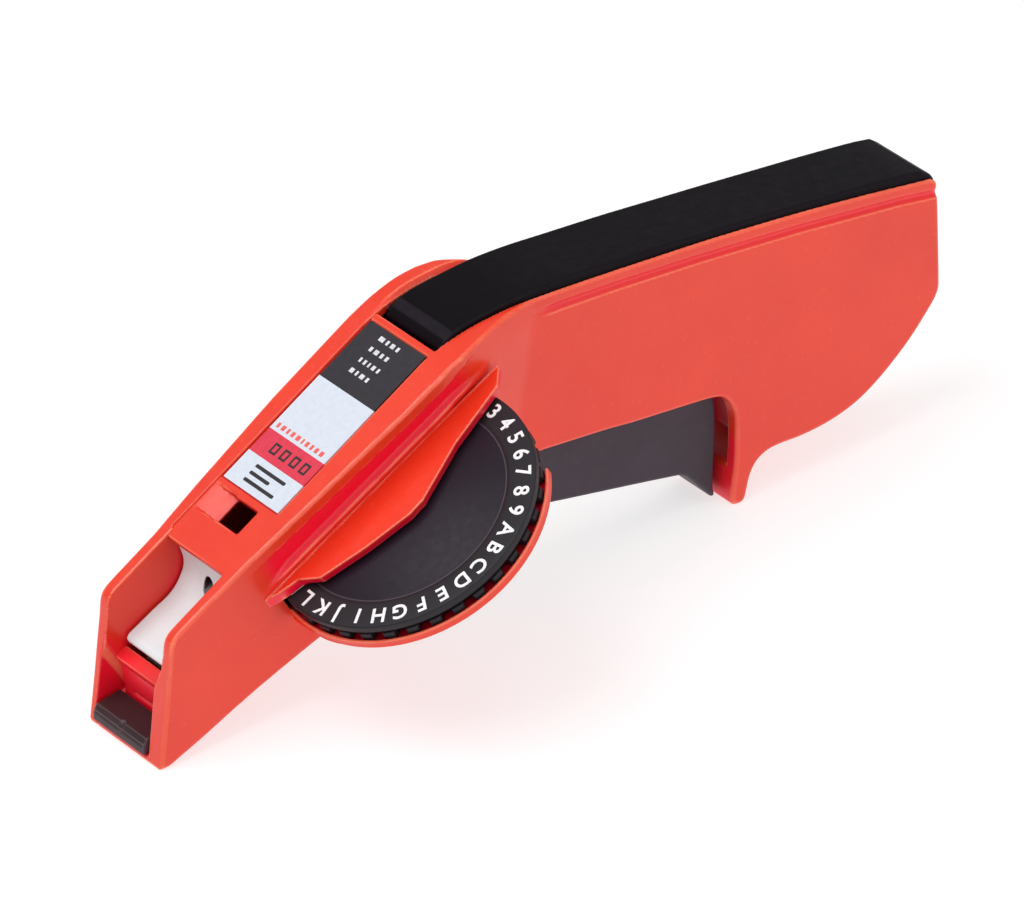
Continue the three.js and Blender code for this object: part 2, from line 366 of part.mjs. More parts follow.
add('blade_carrier', alongY([along(bp, -1.4, 0.75), along(bp, -1.4, 2.4), along(bp, 0.1, 2.4), along(bp, 0.1, 0.75)], -25.5, -11.5), 'nylon');
add('exit_block', alongY([[62.1, -7.95], [67.7, -5.75], [69.2, -6.5], [70.35, -8.2], [70.0, -8.55], [66.1, -9.2], [63.0, -9.65]], CHAN_Y[0] + 0.3, -11.6), 'black');

export default root;
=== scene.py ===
# Looks of the hand-held embossing label maker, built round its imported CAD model.
import math
import bpy
import bmesh
import numpy as np
from mathutils import Matrix, Vector


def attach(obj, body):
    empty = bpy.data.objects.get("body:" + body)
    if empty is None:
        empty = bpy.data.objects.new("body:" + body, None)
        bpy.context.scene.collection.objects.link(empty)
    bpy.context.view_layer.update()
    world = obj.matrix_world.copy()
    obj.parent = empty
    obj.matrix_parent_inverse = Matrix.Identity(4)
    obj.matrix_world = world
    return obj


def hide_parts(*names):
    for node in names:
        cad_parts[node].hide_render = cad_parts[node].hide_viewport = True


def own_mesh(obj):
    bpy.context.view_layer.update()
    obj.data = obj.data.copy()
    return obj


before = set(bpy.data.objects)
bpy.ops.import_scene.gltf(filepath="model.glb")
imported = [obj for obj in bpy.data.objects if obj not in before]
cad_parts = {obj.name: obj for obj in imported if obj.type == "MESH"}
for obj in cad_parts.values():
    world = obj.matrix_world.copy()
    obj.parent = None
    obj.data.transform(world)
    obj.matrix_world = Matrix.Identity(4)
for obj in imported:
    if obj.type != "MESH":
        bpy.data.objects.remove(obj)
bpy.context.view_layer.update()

# ------------------------------------------------------------------ frames
# Pieces are drawn in the dial frame in millimetres (x to the nose, y to the dial side, z square to the
# dial, origin at the dial centre in the letter plane), then turned into the row frame in metres.
TILT = math.radians(29.66)
SHIFT = (46.25, 1.55, 43.4)
CT, ST = math.cos(TILT), math.sin(TILT)
ROT = np.array([[CT, 0, ST], [0, 1, 0], [-ST, 0, CT]])


def to_row(P):
    P = np.asarray(P, float).reshape(-1, 3)
    return (P @ ROT.T + np.array(SHIFT)) / 1000.0


M_ROW = Matrix(((CT, 0, ST, SHIFT[0]), (0, 1, 0, SHIFT[1]), (-ST, 0, CT, SHIFT[2]), (0, 0, 0, 1)))
M_ROW = Matrix.Scale(0.001, 4) @ M_ROW


# ------------------------------------------------------------------ distance fields
def polyline(points, step=0.8):
    """Dense closed outline. A point is (a, b) on a smooth run, or (a, b, 1) at a corner."""
    n = len(points)
    P = np.array([p[:2] for p in points], float)
    corner = [len(p) > 2 and p[2] for p in points]
    out = []
    for i in range(n):
        p1, p2 = P[i], P[(i + 1) % n]
        p0 = P[i - 1] if not corner[i] else p1 - (p2 - p1)
        p3 = P[(i + 2) % n] if not corner[(i + 1) % n] else p2 + (p2 - p1)
        d = np.linalg.norm(p2 - p1)
        k = max(1, int(d / step))
        straight = corner[i] and corner[(i + 1) % n]
        if straight:
            out.append(p1)
            continue
        t0, t1 = 0.0, max(np.linalg.norm(p1 - p0), 1e-6) ** 0.5
        t2 = t1 + max(np.linalg.norm(p2 - p1), 1e-6) ** 0.5
        t3 = t2 + max(np.linalg.norm(p3 - p2), 1e-6) ** 0.5
        for j in range(k):
            t = t1 + (t2 - t1) * j / k
            a1 = (t1 - t) / (t1 - t0) * p0 + (t - t0) / (t1 - t0) * p1
            a2 = (t2 - t) / (t2 - t1) * p1 + (t - t1) / (t2 - t1) * p2
            a3 = (t3 - t) / (t3 - t2) * p2 + (t - t2) / (t3 - t2) * p3
            b1 = (t2 - t) / (t2 - t0) * a1 + (t - t0) / (t2 - t0) * a2
            b2 = (t3 - t) / (t3 - t1) * a2 + (t - t1) / (t3 - t1) * a3
            out.append((t2 - t) / (t2 - t1) * b1 + (t - t1) / (t2 - t1) * b2)
    return np.array(out)


def poly_sdf(poly, A, B):
    """Signed distance, negative inside, of points (A, B) to a closed outline."""
    shape = A.shape
    a, b = A.ravel().astype(np.float32), B.ravel().astype(np.float32)
    d2 = np.full(a.shape, 1e12, np.float32)
    inside = np.zeros(a.shape, bool)
    P = np.asarray(poly, np.float32)
    Q = np.roll(P, -1, axis=0)
    for (x0, y0), (x1, y1) in zip(P, Q):
        ex, ey = x1 - x0, y1 - y0
        L = ex * ex + ey * ey
        if L < 1e-10:
            continue
        wx, wy = a - x0, b - y0
        t = np.clip((wx * ex + wy * ey) / L, 0, 1)
        dx, dy = wx - ex * t, wy - ey * t
        np.minimum(d2, dx * dx + dy * dy, out=d2)
        if y0 != y1:
            cross = (y0 > b) != (y1 > b)
            xi = x0 + (b - y0) * (ex / ey)
            inside ^= cross & (a < xi)
    d = np.sqrt(d2)
    return np.where(inside, -d, d).reshape(shape)


def rmax(a, b, r):
    """Intersection with a rounded outer edge of radius r."""
    return np.minimum(np.maximum(a, b), -r) + np.sqrt(np.maximum(a + r, 0) ** 2 + np.maximum(b + r, 0) ** 2)


def rmin(a, b, r):
    """Union with a fillet of radius r."""
    return np.maximum(np.minimum(a, b), r) - np.sqrt(np.maximum(r - a, 0) ** 2 + np.maximum(r - b, 0) ** 2)


def rsub(a, b, r):
    """a less b with a rounded edge."""
    return rmax(a, -b, r)


def sstep(lo, hi, v):
    t = np.clip((v - lo) / (hi - lo), 0, 1)
    return t * t * (3 - 2 * t)


class Grid:
    def __init__(self, lo, hi, h):
        self.h = h
        self.lo = np.array(lo, float)
        self.n = np.ceil((np.array(hi, float) - self.lo) / h).astype(int) + 1
        ax = [(self.lo[i] + h * np.arange(self.n[i])).astype(np.float32) for i in range(3)]
        self.x, self.y, self.z = ax[0][:, None, None], ax[1][None, :, None], ax[2][None, None, :]
        self.XZ = np.meshgrid(ax[0], ax[2], indexing="ij")
        self.XY = np.meshgrid(ax[0], ax[1], indexing="ij")

    def side(self, poly):
        return poly_sdf(poly, *self.XZ)[:, None, :]

    def plan(self, poly):
        return poly_sdf(poly, *self.XY)[:, :, None]

    def box(self, x0, x1, y0, y1, z0, z1):
        dx = np.maximum(x0 - self.x, self.x - x1)
        dy = np.maximum(y0 - self.y, self.y - y1)
        dz = np.maximum(z0 - self.z, self.z - z1)
        return np.maximum(np.maximum(dx, dy), dz)

    def cyl_y(self, x, z, r, y0, y1):
        d = np.sqrt((self.x - x) ** 2 + (self.z - z) ** 2) - r
        return np.maximum(d, np.maximum(y0 - self.y, self.y - y1))

    def cyl_z(self, x, y, r, z0, z1):
        d = np.sqrt((self.x - x) ** 2 + (self.y - y) ** 2) - r
        return np.maximum(d, np.maximum(z0 - self.z, self.z - z1))


def trilinear(F, p):
    n = np.array(F.shape)
    p = np.clip(p, 0, n - 1.001)
    i = p.astype(np.int32)
    f = (p - i).astype(np.float32)
    x, y, z = i[:, 0], i[:, 1], i[:, 2]
    fx, fy, fz = f[:, 0], f[:, 1], f[:, 2]
    c00 = F[x, y, z] * (1 - fx) + F[x + 1, y, z] * fx
    c01 = F[x, y, z + 1] * (1 - fx) + F[x + 1, y, z + 1] * fx
    c10 = F[x, y + 1, z] * (1 - fx) + F[x + 1, y + 1, z] * fx
    c11 = F[x, y + 1, z + 1] * (1 - fx) + F[x + 1, y + 1, z + 1] * fx
    return (c00 * (1 - fy) + c10 * fy) * (1 - fz) + (c01 * (1 - fy) + c11 * fy) * fz


def gradient(F, p, e=0.5):
    g = np.empty((len(p), 3))
    for k in range(3):
        d = np.zeros(3)
        d[k] = e
        g[:, k] = (trilinear(F, p + d) - trilinear(F, p - d)) / (2 * e)
    return g


def surface(F, grid):
    """Quads on the zero level of F, with their points pulled onto it."""
    F = np.array(np.broadcast_to(F, tuple(grid.n)), np.float32)
    F[0], F[-1], F[:, 0], F[:, -1], F[:, :, 0], F[:, :, -1] = 9, 9, 9, 9, 9, 9
    S = F < 0
    C = np.zeros(np.array(F.shape) - 1, np.uint8)
    for a in (0, 1):
        for b in (0, 1):
            for c in (0, 1):
                C += S[a:S.shape[0] - 1 + a, b:S.shape[1] - 1 + b, c:S.shape[2] - 1 + c]
    act = (C > 0) & (C < 8)
    del C
    idx = np.argwhere(act)
    pos = np.zeros((len(idx), 3))
    cnt = np.zeros(len(idx))
    for ax in range(3):
        o1, o2 = [k for k in range(3) if k != ax]
        for u in (0, 1):
            for v in (0, 1):
                a = idx.copy()
                a[:, o1] += u
                a[:, o2] += v
                b = a.copy()
                b[:, ax] += 1
                fa, fb = F[a[:, 0], a[:, 1], a[:, 2]], F[b[:, 0], b[:, 1], b[:, 2]]
                m = (fa < 0) != (fb < 0)
                t = np.where(m, fa / np.where(m, fa - fb, 1), 0)
                pt = a.astype(float)
                pt[:, ax] += t
                pos[m] += pt[m]
                cnt += m
    pos /= cnt[:, None]
    vid = np.full(act.shape, -1, np.int32)
    vid[act] = np.arange(len(idx))
    quads = []
    for ax in range(3):
        o1, o2 = (ax + 1) % 3, (ax + 2) % 3
        sl0 = [slice(None)] * 3
        sl1 = [slice(None)] * 3
        sl0[ax] = slice(0, -1)
        sl1[ax] = slice(1, None)
        ch = S[tuple(sl0)] != S[tuple(sl1)]
        e = np.argwhere(ch)
        ok = (e[:, o1] > 0) & (e[:, o2] > 0) & (e[:, o1] < F.shape[o1] - 1) & (e[:, o2] < F.shape[o2] - 1)
        e = e[ok]
        ins = S[e[:, 0], e[:, 1], e[:, 2]]
        def cell(d1, d2):
            c = e.copy()
            c[:, o1] += d1
            c[:, o2] += d2
            return vid[c[:, 0], c[:, 1], c[:, 2]]
        q = np.stack([cell(-1, -1), cell(0, -1), cell(0, 0), cell(-1, 0)], 1)
        q[~ins] = q[~ins][:, ::-1]
        quads.append(q)
    quads = np.concatenate(quads)
    for _ in range(3):
        g = gradient(F, pos)
        L = (g * g).sum(1)
        stepv = -(trilinear(F, pos) / np.maximum(L, 1e-3))[:, None] * g
        ln = np.linalg.norm(stepv, axis=1)
        stepv *= np.minimum(1, 0.5 / np.maximum(ln, 1e-9))[:, None]
        pos += stepv
    return pos * grid.h + grid.lo, quads, F


def mesh_object(name, verts, faces, smooth=True):
    """Mesh from points in the dial frame, in millimetres."""
    me = bpy.data.meshes.new(name)
    me.from_pydata([tuple(v) for v in to_row(verts)], [], [tuple(int(i) for i in f) for f in faces])
    me.validate()
    me.update()
    if smooth:
        me.polygons.foreach_set("use_smooth", [True] * len(me.polygons))
    o = bpy.data.objects.new(name, me)
    bpy.context.scene.collection.objects.link(o)
    return o


def field_object(name, F, grid, ratio=0.25, reach=3.0, painted_zone_shade=None):
    """Mesh of a field, thinned where it is flat. Its normals come from the field, and so do its point
    attributes: rounded corners (worn, and with a painted highlight), painted shade in inner corners and pockets, and
    painted shade in given zones."""
    v, q, F = surface(F, grid)
    me = bpy.data.meshes.new(name)
    me.vertices.add(len(v))
    me.vertices.foreach_set("co", v.astype(np.float32).ravel())
    me.loops.add(len(q) * 4)
    me.loops.foreach_set("vertex_index", q.astype(np.int32).ravel())
    me.polygons.add(len(q))
    me.polygons.foreach_set("loop_start", np.arange(0, len(q) * 4, 4, dtype=np.int32))
    me.update(calc_edges=True)
    me.validate()
    o = bpy.data.objects.new(name, me)
    bpy.context.scene.collection.objects.link(o)
    if ratio < 1:
        mod = o.modifiers.new("thin", "DECIMATE")
        mod.ratio = ratio
        dg = bpy.context.evaluated_depsgraph_get()
        new = bpy.data.meshes.new_from_object(o.evaluated_get(dg))
        o.modifiers.clear()
        old = o.data
        o.data = new
        bpy.data.meshes.remove(old)
        me = o.data
        me.name = name
    nv, nl = len(me.vertices), len(me.loops)
    co = np.empty(nv * 3, np.float32)
    me.vertices.foreach_get("co", co)
    co = co.reshape(-1, 3).astype(float)
    lv = np.empty(nl, np.int32)
    me.loops.foreach_get("vertex_index", lv)
    start = np.empty(len(me.polygons), np.int32)
    total = np.empty(len(me.polygons), np.int32)
    me.polygons.foreach_get("loop_start", start)
    me.polygons.foreach_get("loop_total", total)
    cen = np.add.reduceat(co[lv], start, axis=0) / total[:, None]
    cen = np.repeat(cen, total, axis=0)
    d = cen - co[lv]
    ln = np.linalg.norm(d, axis=1)[:, None]
    at = co[lv] + d * np.minimum(0.15, 0.35 / np.maximum(ln, 1e-9)) * np.minimum(1, ln / (1.2 * grid.h))
    g = gradient(F, (at - grid.lo) / grid.h, 0.4)
    g /= np.maximum(np.linalg.norm(g, axis=1), 1e-9)[:, None]
    # point attributes
    p = (co - grid.lo) / grid.h
    gv = gradient(F, p, 0.5)
    gv /= np.maximum(np.linalg.norm(gv, axis=1), 1e-9)[:, None]
    e = 0.6 / grid.h
    out = p + gv * (0.75 / grid.h)
    lap = -6 * trilinear(F, out)
    for k in range(3):
        s = np.zeros(3)
        s[k] = e
        lap += trilinear(F, out + s) + trilinear(F, out - s)
    lap = lap / 0.36
    # rounded outer corners: lighter as if worn, which also paints the highlight that ridges catch
    edge = np.clip((lap - 0.40) / 0.55, 0, 1)
    # painted shade: the nearer the facing surface along the normal, the darker inner corners and pockets are painted
    painted_cavity_shade = np.clip(1 - trilinear(F, p + gv * (reach / grid.h)) / reach, 0, 1)
    # painted shade in the zones the caller gives
    shade = np.clip(painted_zone_shade(co, gv), 0, 1) if painted_zone_shade else np.zeros(len(co))
    me.vertices.foreach_set("co", to_row(co).astype(np.float32).ravel())
    me.polygons.foreach_set("use_smooth", np.ones(len(me.polygons), bool))
    for key, val in (("edge", edge), ("painted_cavity_shade", painted_cavity_shade), ("painted_zone_shade", shade)):
        a = me.attributes.new(key, "FLOAT", "POINT")
        a.data.foreach_set("value", val.astype(np.float32))
    me.update()
    me.normals_split_custom_set((g @ ROT.T).astype(float).tolist())
    return o


# ------------------------------------------------------------------ outlines, dial frame, mm
PLATE_Z = 13.8
SIDE = [
    [70.6, -9.73, 1], [64.7, -2.2], [59.2, 5.0], [55.4, 9.9], [54.0, 11.9], [52.8, 13.1], [51.4, 13.65], [49.0, PLATE_Z, 1],
    [-23.0, PLATE_Z, 1], [-27.5, 13.3], [-31.5, 12.2], [-35.2, 10.9], [-38.9, 9.3], [-43.3, 7.1], [-47.6, 4.6], [-52, 1.8], [-56.5, -1.2],
    [-65, -7.0], [-75.5, -14.3], [-86.5, -22.0], [-97.3, -29.9], [-108.1, -38.0], [-121, -48.1], [-129.4, -54.9], [-135.3, -59.7, 1],
    [-136.0, -61.3], [-134.6, -64.3], [-131.6, -70.2], [-128.3, -76.5], [-125.2, -82.4], [-124.0, -84.4], [-122.2, -85.8],
    [-117.9, -87.4], [-113.3, -88.8], [-108.9, -89.7], [-102, -90.5], [-95.7, -90.4], [-90.2, -89.2], [-85.1, -87.2],
    [-80.2, -84.6], [-75.8, -81.7], [-72.9, -80.2], [-70.2, -79.8], [-67.9, -80.5], [-65.7, -82.2], [-64.0, -84.0], [-62.2, -85.36],
    [-59.9, -84.05], [-60.2, -82.4], [-64.8, -76.2], [-68.5, -70.2], [-71.2, -64.8], [-71.6, -61.0], [-70.9, -58.4], [-69.2, -56.5],
    [-62, -51.0], [-53.4, -44.7], [-44.9, -38.4], [-36.4, -32.2], [-32.2, -29.2], [-27, -26.2], [-20, -23.5], [-10, -21.2],
    [0, -19.9], [14, -18.4], [27.8, -16.7], [38.6, -15.1], [49.6, -13.6], [60.5, -12.2], [66, -11.35], [68.4, -10.98],
]
CAVITY = [
    [29.8, 11.7], [-22.5, 11.7], [-28, 11.1], [-33, 9.6], [-39, 7.0], [-48, 2.1], [-57, -3.7], [-66, -9.9], [-87.5, -25.0],
    [-109.5, -41.4], [-122.2, -51.5], [-132.2, -59.7], [-133.2, -62.3], [-129.9, -69.1], [-126.4, -75.8], [-122.6, -83.0], [-119.5, -84.9],
    [-113.3, -86.7], [-102, -88.4], [-95.9, -88.3], [-91, -87.2], [-86, -85.3], [-80.8, -82.5], [-75.8, -79.2], [-75.2, -66.0],
    [-74.2, -60.5], [-72.9, -57.4], [-70.6, -54.9], [-63, -49.3], [-46, -36.7], [-37.5, -30.4], [-33.1, -27.3], [-27.8, -24.3],
    [-20.7, -21.6], [-10.4, -19.3], [0, -18.0], [14, -16.5], [29.8, -14.4],
]
FAR = ([-140, -52, -49.5, -47, -44, -40, -24, 0, 12, 24, 37, 50, 73], [-28.6, -28.6, -29.2, -30.9, -32.5, -33.3, -33.4, -33.2, -32.6, -32.0, -31.0, -30.9, -31.0])
RIDGE = ([-140, -60, -49, -45.6, -40, -35, -28.5, -22.3, -10.9, 2.8, 16.6, 30.2, 44.3, 51, 58, 75],
         [-8.5, -8.5, -8.35, -7.9, -6.4, -4.7, -3.1, -2.75, -3.2, -4.2, -5.1, -6.1, -6.55, -6.6, -6.5, -6.5])
GROOVE = [[-47.5, 1.0], [-50.1, -1.2], [-53.7, -3.3], [-62.2, -9.0], [-66.6, -12.0], [-83.6, -24], [-105.2, -40], [-126.8, -56.8], [-134.2, -63.1], [-140, -68]]
LID_Y = (-27.5, -9.5)
CHAN = (-27.8, -9.4)
SPOOL = (-102, -65.5)
POSTS = [[-8, 7.6], [-58, -15.0], [-80.5, -76.0], [-127.6, -67.0]]
TRIG_Y = (-25.0, -12.0)
DISC_R = 29.4


def seg_dist(path, A, B):
    """Distance and signed side (positive above) of points to an open line."""
    P = np.asarray(path, float)
    best = np.full(A.shape, 1e9)
    side = np.zeros(A.shape)
    for (x0, y0), (x1, y1) in zip(P[:-1], P[1:]):
        ex, ey = x1 - x0, y1 - y0
        t = np.clip(((A - x0) * ex + (B - y0) * ey) / (ex * ex + ey * ey), 0, 1)
        dx, dy = A - x0 - ex * t, B - y0 - ey * t
        d = np.hypot(dx, dy)
        m = d < best
        best = np.where(m, d, best)
        side = np.where(m, np.sign(-ex * dy + ey * dx), side)
    return best, side


def smin(a, b, k):
    h = np.clip(0.5 + 0.5 * (b - a) / k, 0, 1)
    return b * (1 - h) + a * h - k * h * (1 - h)


def smax(a, b, k):
    return -smin(-a, -b, k)


def shelf_line(x):
    return -4.0 + (x + 34.1) * (-2.0 / 66.6)


def near_flank(X, Z):
    """Height in y of the dial-side flank over (x, z)."""
    ridge = np.interp(X, *RIDGE)
    s = (X + 47) * 0.775 + (Z + 0.4) * 0.63
    flank = smax(smin(ridge, -8.64 + 0.27 * s, 0.8), np.full_like(X, -8.64), 0.35)
    # lip along the handle with a rounded groove under it
    d, side = seg_dist(GROOVE, X, Z)
    fade = sstep(-46.5, -52.5, X)
    flank = flank - fade * 0.40 * np.exp(-(d / 0.8) ** 2) + fade * 0.3 * sstep(0.3, 1.2, -side * d)
    # undercut between the ridge and the dial shelf
    wx = sstep(-36, -22, X) * (1 - sstep(23, 33, X))
    lean = np.maximum(ridge - shelf_line(X), 0)
    low = sstep(11.0, 10.1, Z) * 0.45 + sstep(10.6, 5.6, Z) * 0.55
    back = sstep(5.4, 3.9, Z)
    depth = low * (lean + 1.5) - back * 1.2
    depth = depth * sstep(-0.6, 1.2, Z)
    return flank - wx * depth


def shell_fields(G):
    X, Z = G.XZ
    side = G.side(polyline(SIDE, 0.7))
    Y = near_flank(X, Z)
    gx, gz = np.gradient(Y, G.h)
    near = (G.y - Y[:, None, :]) / np.sqrt(1 + gx ** 2 + gz ** 2)[:, None, :]
    fx = np.interp(G.x, *FAR)
    far = fx - G.y
    # the far shoulder stands a little proud beside the grip hinge
    side = side - 1.1 * sstep(-28.3, -29.6, G.y) * sstep(-53, -43, G.x) * (1 - sstep(-37, -24, G.x)) * sstep(-6, 2, G.z)
    top = sstep(-4, 2, Z - np.interp(X, [-140, -60, -30, 80], [-64, -8, 6, 6]))
    r = (1.0 - 0.25 * top)[:, None, :]
    body = rmax(rmax(side, near, r), far, np.maximum(r, 1.0))
    body = np.maximum(body, 0.03 - (-ST * G.x + CT * G.z + SHIFT[2]))
    cav = np.maximum(np.maximum(G.side(polyline([(a, b, 1) for a, b in CAVITY])), near + 2.05), far + 2.05)
    cav = np.maximum(cav, (G.x - 32.2))
    return side, near, far, body, cav


def zone(G):
    """Parting surface: positive on the dial side."""
    part = np.where(G.x > 33.2, -27.8, np.interp(G.x, [-44, -41], [-26.35, -28.45])) + 0 * G.z
    return G.y - part


CH_UP = [[35.5, 30, 1], [90, 30, 1], [90, -0.6, 1], [57.0, -0.5, 1], [55.9, -1.1, 1], [35.5, -1.1, 1]]
CH_LOW = [[30.9, -6.2, 1], [30.9, -14.2, 1], [38.6, -13.0, 1], [49.6, -11.5, 1], [60.2, -10.4, 1], [61.2, -9.6, 1], [55.9, -1.0, 1], [32.9, -1.0, 1]]
POCKET = [[57.0, -0.5], [58.6, -1.6], [60.2, -4.6], [61.2, -7.4], [61.9, -8.6, 1], [62.6, -10.0, 1], [66.4, -9.55, 1], [69.9, -8.85, 1], [73, -8.85, 1], [90, -2, 1], [90, 10, 1], [57, 10, 1]]
LID_OPEN = [[-26.7, 30], [-26.7, 9.6], [-30, 8.4], [-39, 4.8], [-48, -0.5], [-57, -6.2], [-66, -12.4], [-87.5, -27.5], [-109.5, -44],
            [-122.2, -54.1], [-130.6, -61.0], [-133.9, -62.2], [-150, -62.9], [-150, 30]]
TRIG_SLOT = [[-2, -10], [-2, -40], [-30, -60], [-58.9, -86], [-58.9, -83], [-61.7, -78.4], [-65, -76.8], [-71.5, -76.6], [-74.8, -70], [-78, -60], [-73, -48], [-40, -24]]


MOUTH_NEAR = [[55.4, -9.2, 1], [56.6, -9.45], [58.4, -10.4], [60.2, -11.25], [62.0, -11.3], [72.5, -10.9, 1], [72.5, -9.2, 1]]
MOUTH_FAR = [[57.0, -27.6, 1], [58.4, -27.9], [60.4, -28.55], [62.0, -28.8], [73.0, -28.9, 1], [73.0, -27.6, 1]]


def corners(pts):
    return [(p[0], p[1], 1) for p in pts]


def shell_painted_shade(co, nrm):
    """Painted shade: deeper red in the hollow over the dial, in the mouth and on the front of the prong."""
    x, y, z = co.T
    cove = sstep(-30, -24, x) * (1 - sstep(26.0, 31, x)) * sstep(3.0, 4.4, z) * (1 - sstep(10.0, 10.9, z)) * sstep(-10.5, -9.0, y)
    foot = 0.35 * sstep(-35, -30, x) * (1 - sstep(29, 33, x)) * sstep(0.5, 1.5, z) * (1 - sstep(3.5, 4.4, z)) * sstep(-10.5, -9.0, y)
    mouth = sstep(55.6, 56.6, x) * (1 - sstep(0.6, 1.0, z)) * sstep(-28.9, -28.7, y) * (1 - sstep(-11.9, -11.5, y)) * 0.8
    kz = np.interp(x, [35, 37, 39, 41, 55], [9.2, 4.6, 3.3, 2.4, 1.0])
    wall = np.maximum(0.85 * sstep(57, 58.5, x), 0.65 * sstep(34, 36, x) * (1 - sstep(0.3, 3.5, z - kz)))
    mouth = np.maximum(mouth, wall * sstep(0.5, 0.8, nrm[:, 1]) * sstep(-26.0, -27.0, y))
    d, _ = seg_dist(GROOVE, x, z)
    prong = 0.55 * sstep(1.3, 0.4, d) * sstep(-10.5, -10.0, y) * sstep(-47, -53, x)
    mouth = np.maximum(mouth, prong)
    prong = sstep(0.55, 0.9, nrm[:, 0]) * (1 - sstep(-58, -56, x)) * (1 - sstep(-72, -68, z)) * 0.9
    return np.maximum(np.maximum(cove, foot), np.maximum(mouth, prong))


def housing():
    h = 0.4
    G = Grid((-138, -28.9, -92.2), (72.8, -1.2, 15.6), h)
    side, near, far, body, cav = shell_fields(G)
    z = zone(G)
    F = np.maximum(body, -cav)
    thru = (-60, CHAN[1])
    chan = np.maximum(np.minimum(G.side(polyline(CH_UP, 9)), np.minimum(G.side(polyline(CH_LOW, 9)), G.side(polyline(POCKET, 1.0)))), G.y - CHAN[1])
    well = G.box(32.9, 36.0, -60, CHAN[1], -3, 11.7)
    chan = rmax(chan, -np.maximum(G.plan(polyline(MOUTH_NEAR, 0.6)), -20 - G.z), 0.5)
    F = rsub(F, chan, 0.4)
    # ledge behind the thumb key
    F = rmin(F, np.maximum(G.box(55.75, 59.0, -60, CHAN[1] + 1.0, -1.9, 0.3), -side - 40), 0.15)
    F = np.maximum(F, -well)
    F = rsub(F, G.box(54, 66, -24, -13.4, -7.5, -6.7), 0.15)
    F = np.maximum(F, -G.box(29.0, 34.0, -24, -13, -4.8, -1.0))
    F = np.maximum(F, -G.box(28.0, 33.6, TRIG_Y[0] - 0.5, TRIG_Y[1] + 0.5, -14.25, -7.0))
    # window with one slanted bank
    F = rsub(F, G.box(21.0, 27.1, -21.3, -14.1, 4, 20), 0.3)
    bank = np.maximum(np.maximum(20.8 - G.x, G.x - 27.3), np.maximum(G.y + 21.2, (-(G.z - 12.2) + (G.y + 21.2) * (-0.235)) * 0.973))
    F = rsub(F, bank, 0.25)
    F = np.maximum(F, -G.box(-24.95, 19.15, -60, -9.65, PLATE_Z - 0.55, 20))
    F = rsub(F, np.maximum(np.maximum(G.side(polyline(corners(LID_OPEN), 9)), G.y - (LID_Y[1] + 0.05)), -60 - G.y), 0.2)
    F = np.maximum(F, -np.maximum(G.side(polyline(corners(TRIG_SLOT), 9)), np.maximum(G.y - (TRIG_Y[1] + 0.5), TRIG_Y[0] - 0.5 - G.y)))
    # slot for the discs
    F = np.maximum(F, -G.cyl_z(0, 0, DISC_R + 0.7, -5.0, 0.35))
    # screw posts, spool post and spring seat
    for k, (x, zz) in enumerate(POSTS):
        post = np.maximum(G.cyl_y(x, zz, 3.0, -60, -8.3 if k == 0 else -9.7), -G.cyl_y(x, zz, 1.7, -60, -9.3 if k == 0 else -13))
        F = np.minimum(F, post)
    F = np.minimum(F, np.maximum(G.cyl_y(*SPOOL, 4.0, -13.2, -9.8), -G.cyl_y(*SPOOL, 1.7, -30, -10.9)))
    F = np.minimum(F, G.box(-47.5, -40.5, -60, -9.6, -15.6, -13.6))
    for x, zz, r in ((29.5, -10.6, 1.35), (36.8, -2.0, 1.25), (-29.6, 10.4, 1.3)):
        F = np.maximum(F, -G.cyl_y(x, zz, r, -60, -7.8))
    F = np.maximum(F, -(z - 0.02))
    o = field_object("housing_shell", F, G, 0.22, painted_zone_shade=shell_painted_shade)
    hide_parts("main_housing")
    return o


def cover():
    h = 0.4
    G = Grid((-138, -36.6, -92.2), (72.8, -24.4, 15.8), h)
    side, near, far, body, cav = shell_fields(G)
    z = zone(G)
    F = np.maximum(body, -cav)
    F = rsub(F, np.maximum(np.maximum(G.plan(polyline(MOUTH_FAR, 0.6)), -8.9 - G.z), -side - 60), 0.4)
    F = rsub(F, np.maximum(G.side(polyline(corners(LID_OPEN), 9)), LID_Y[0] - 0.2 - G.y), 0.22)
    F = np.maximum(F, -G.cyl_z(0, 0, DISC_R + 0.7, -5.0, 0.35))
    F = np.maximum(F, -G.box(-24.95, 19.15, -28.05, 0, PLATE_Z - 0.55, 20))
    for k, (x, zz) in enumerate(POSTS):
        if k == 0:
            F = np.minimum(F, G.cyl_y(x, zz, 3.6, -32.2, -28.6))
        F = np.maximum(F, -G.cyl_y(x, zz, 1.7, -60, -20))
        F = rsub(F, G.cyl_y(x, zz, 3.1, -60, -32.4 if k == 0 else -27.25), 0.25)
    for x, zz, r in ((29.5, -10.6, 1.35), (-29.6, 10.4, 1.3)):
        F = np.maximum(F, -G.cyl_y(x, zz, r, -31, -20))
    F = np.maximum(F, z + 0.02)
    o = field_object("cover_shell", F, G, 0.25, painted_zone_shade=shell_painted_shade)
    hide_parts("side_cover")
    return o


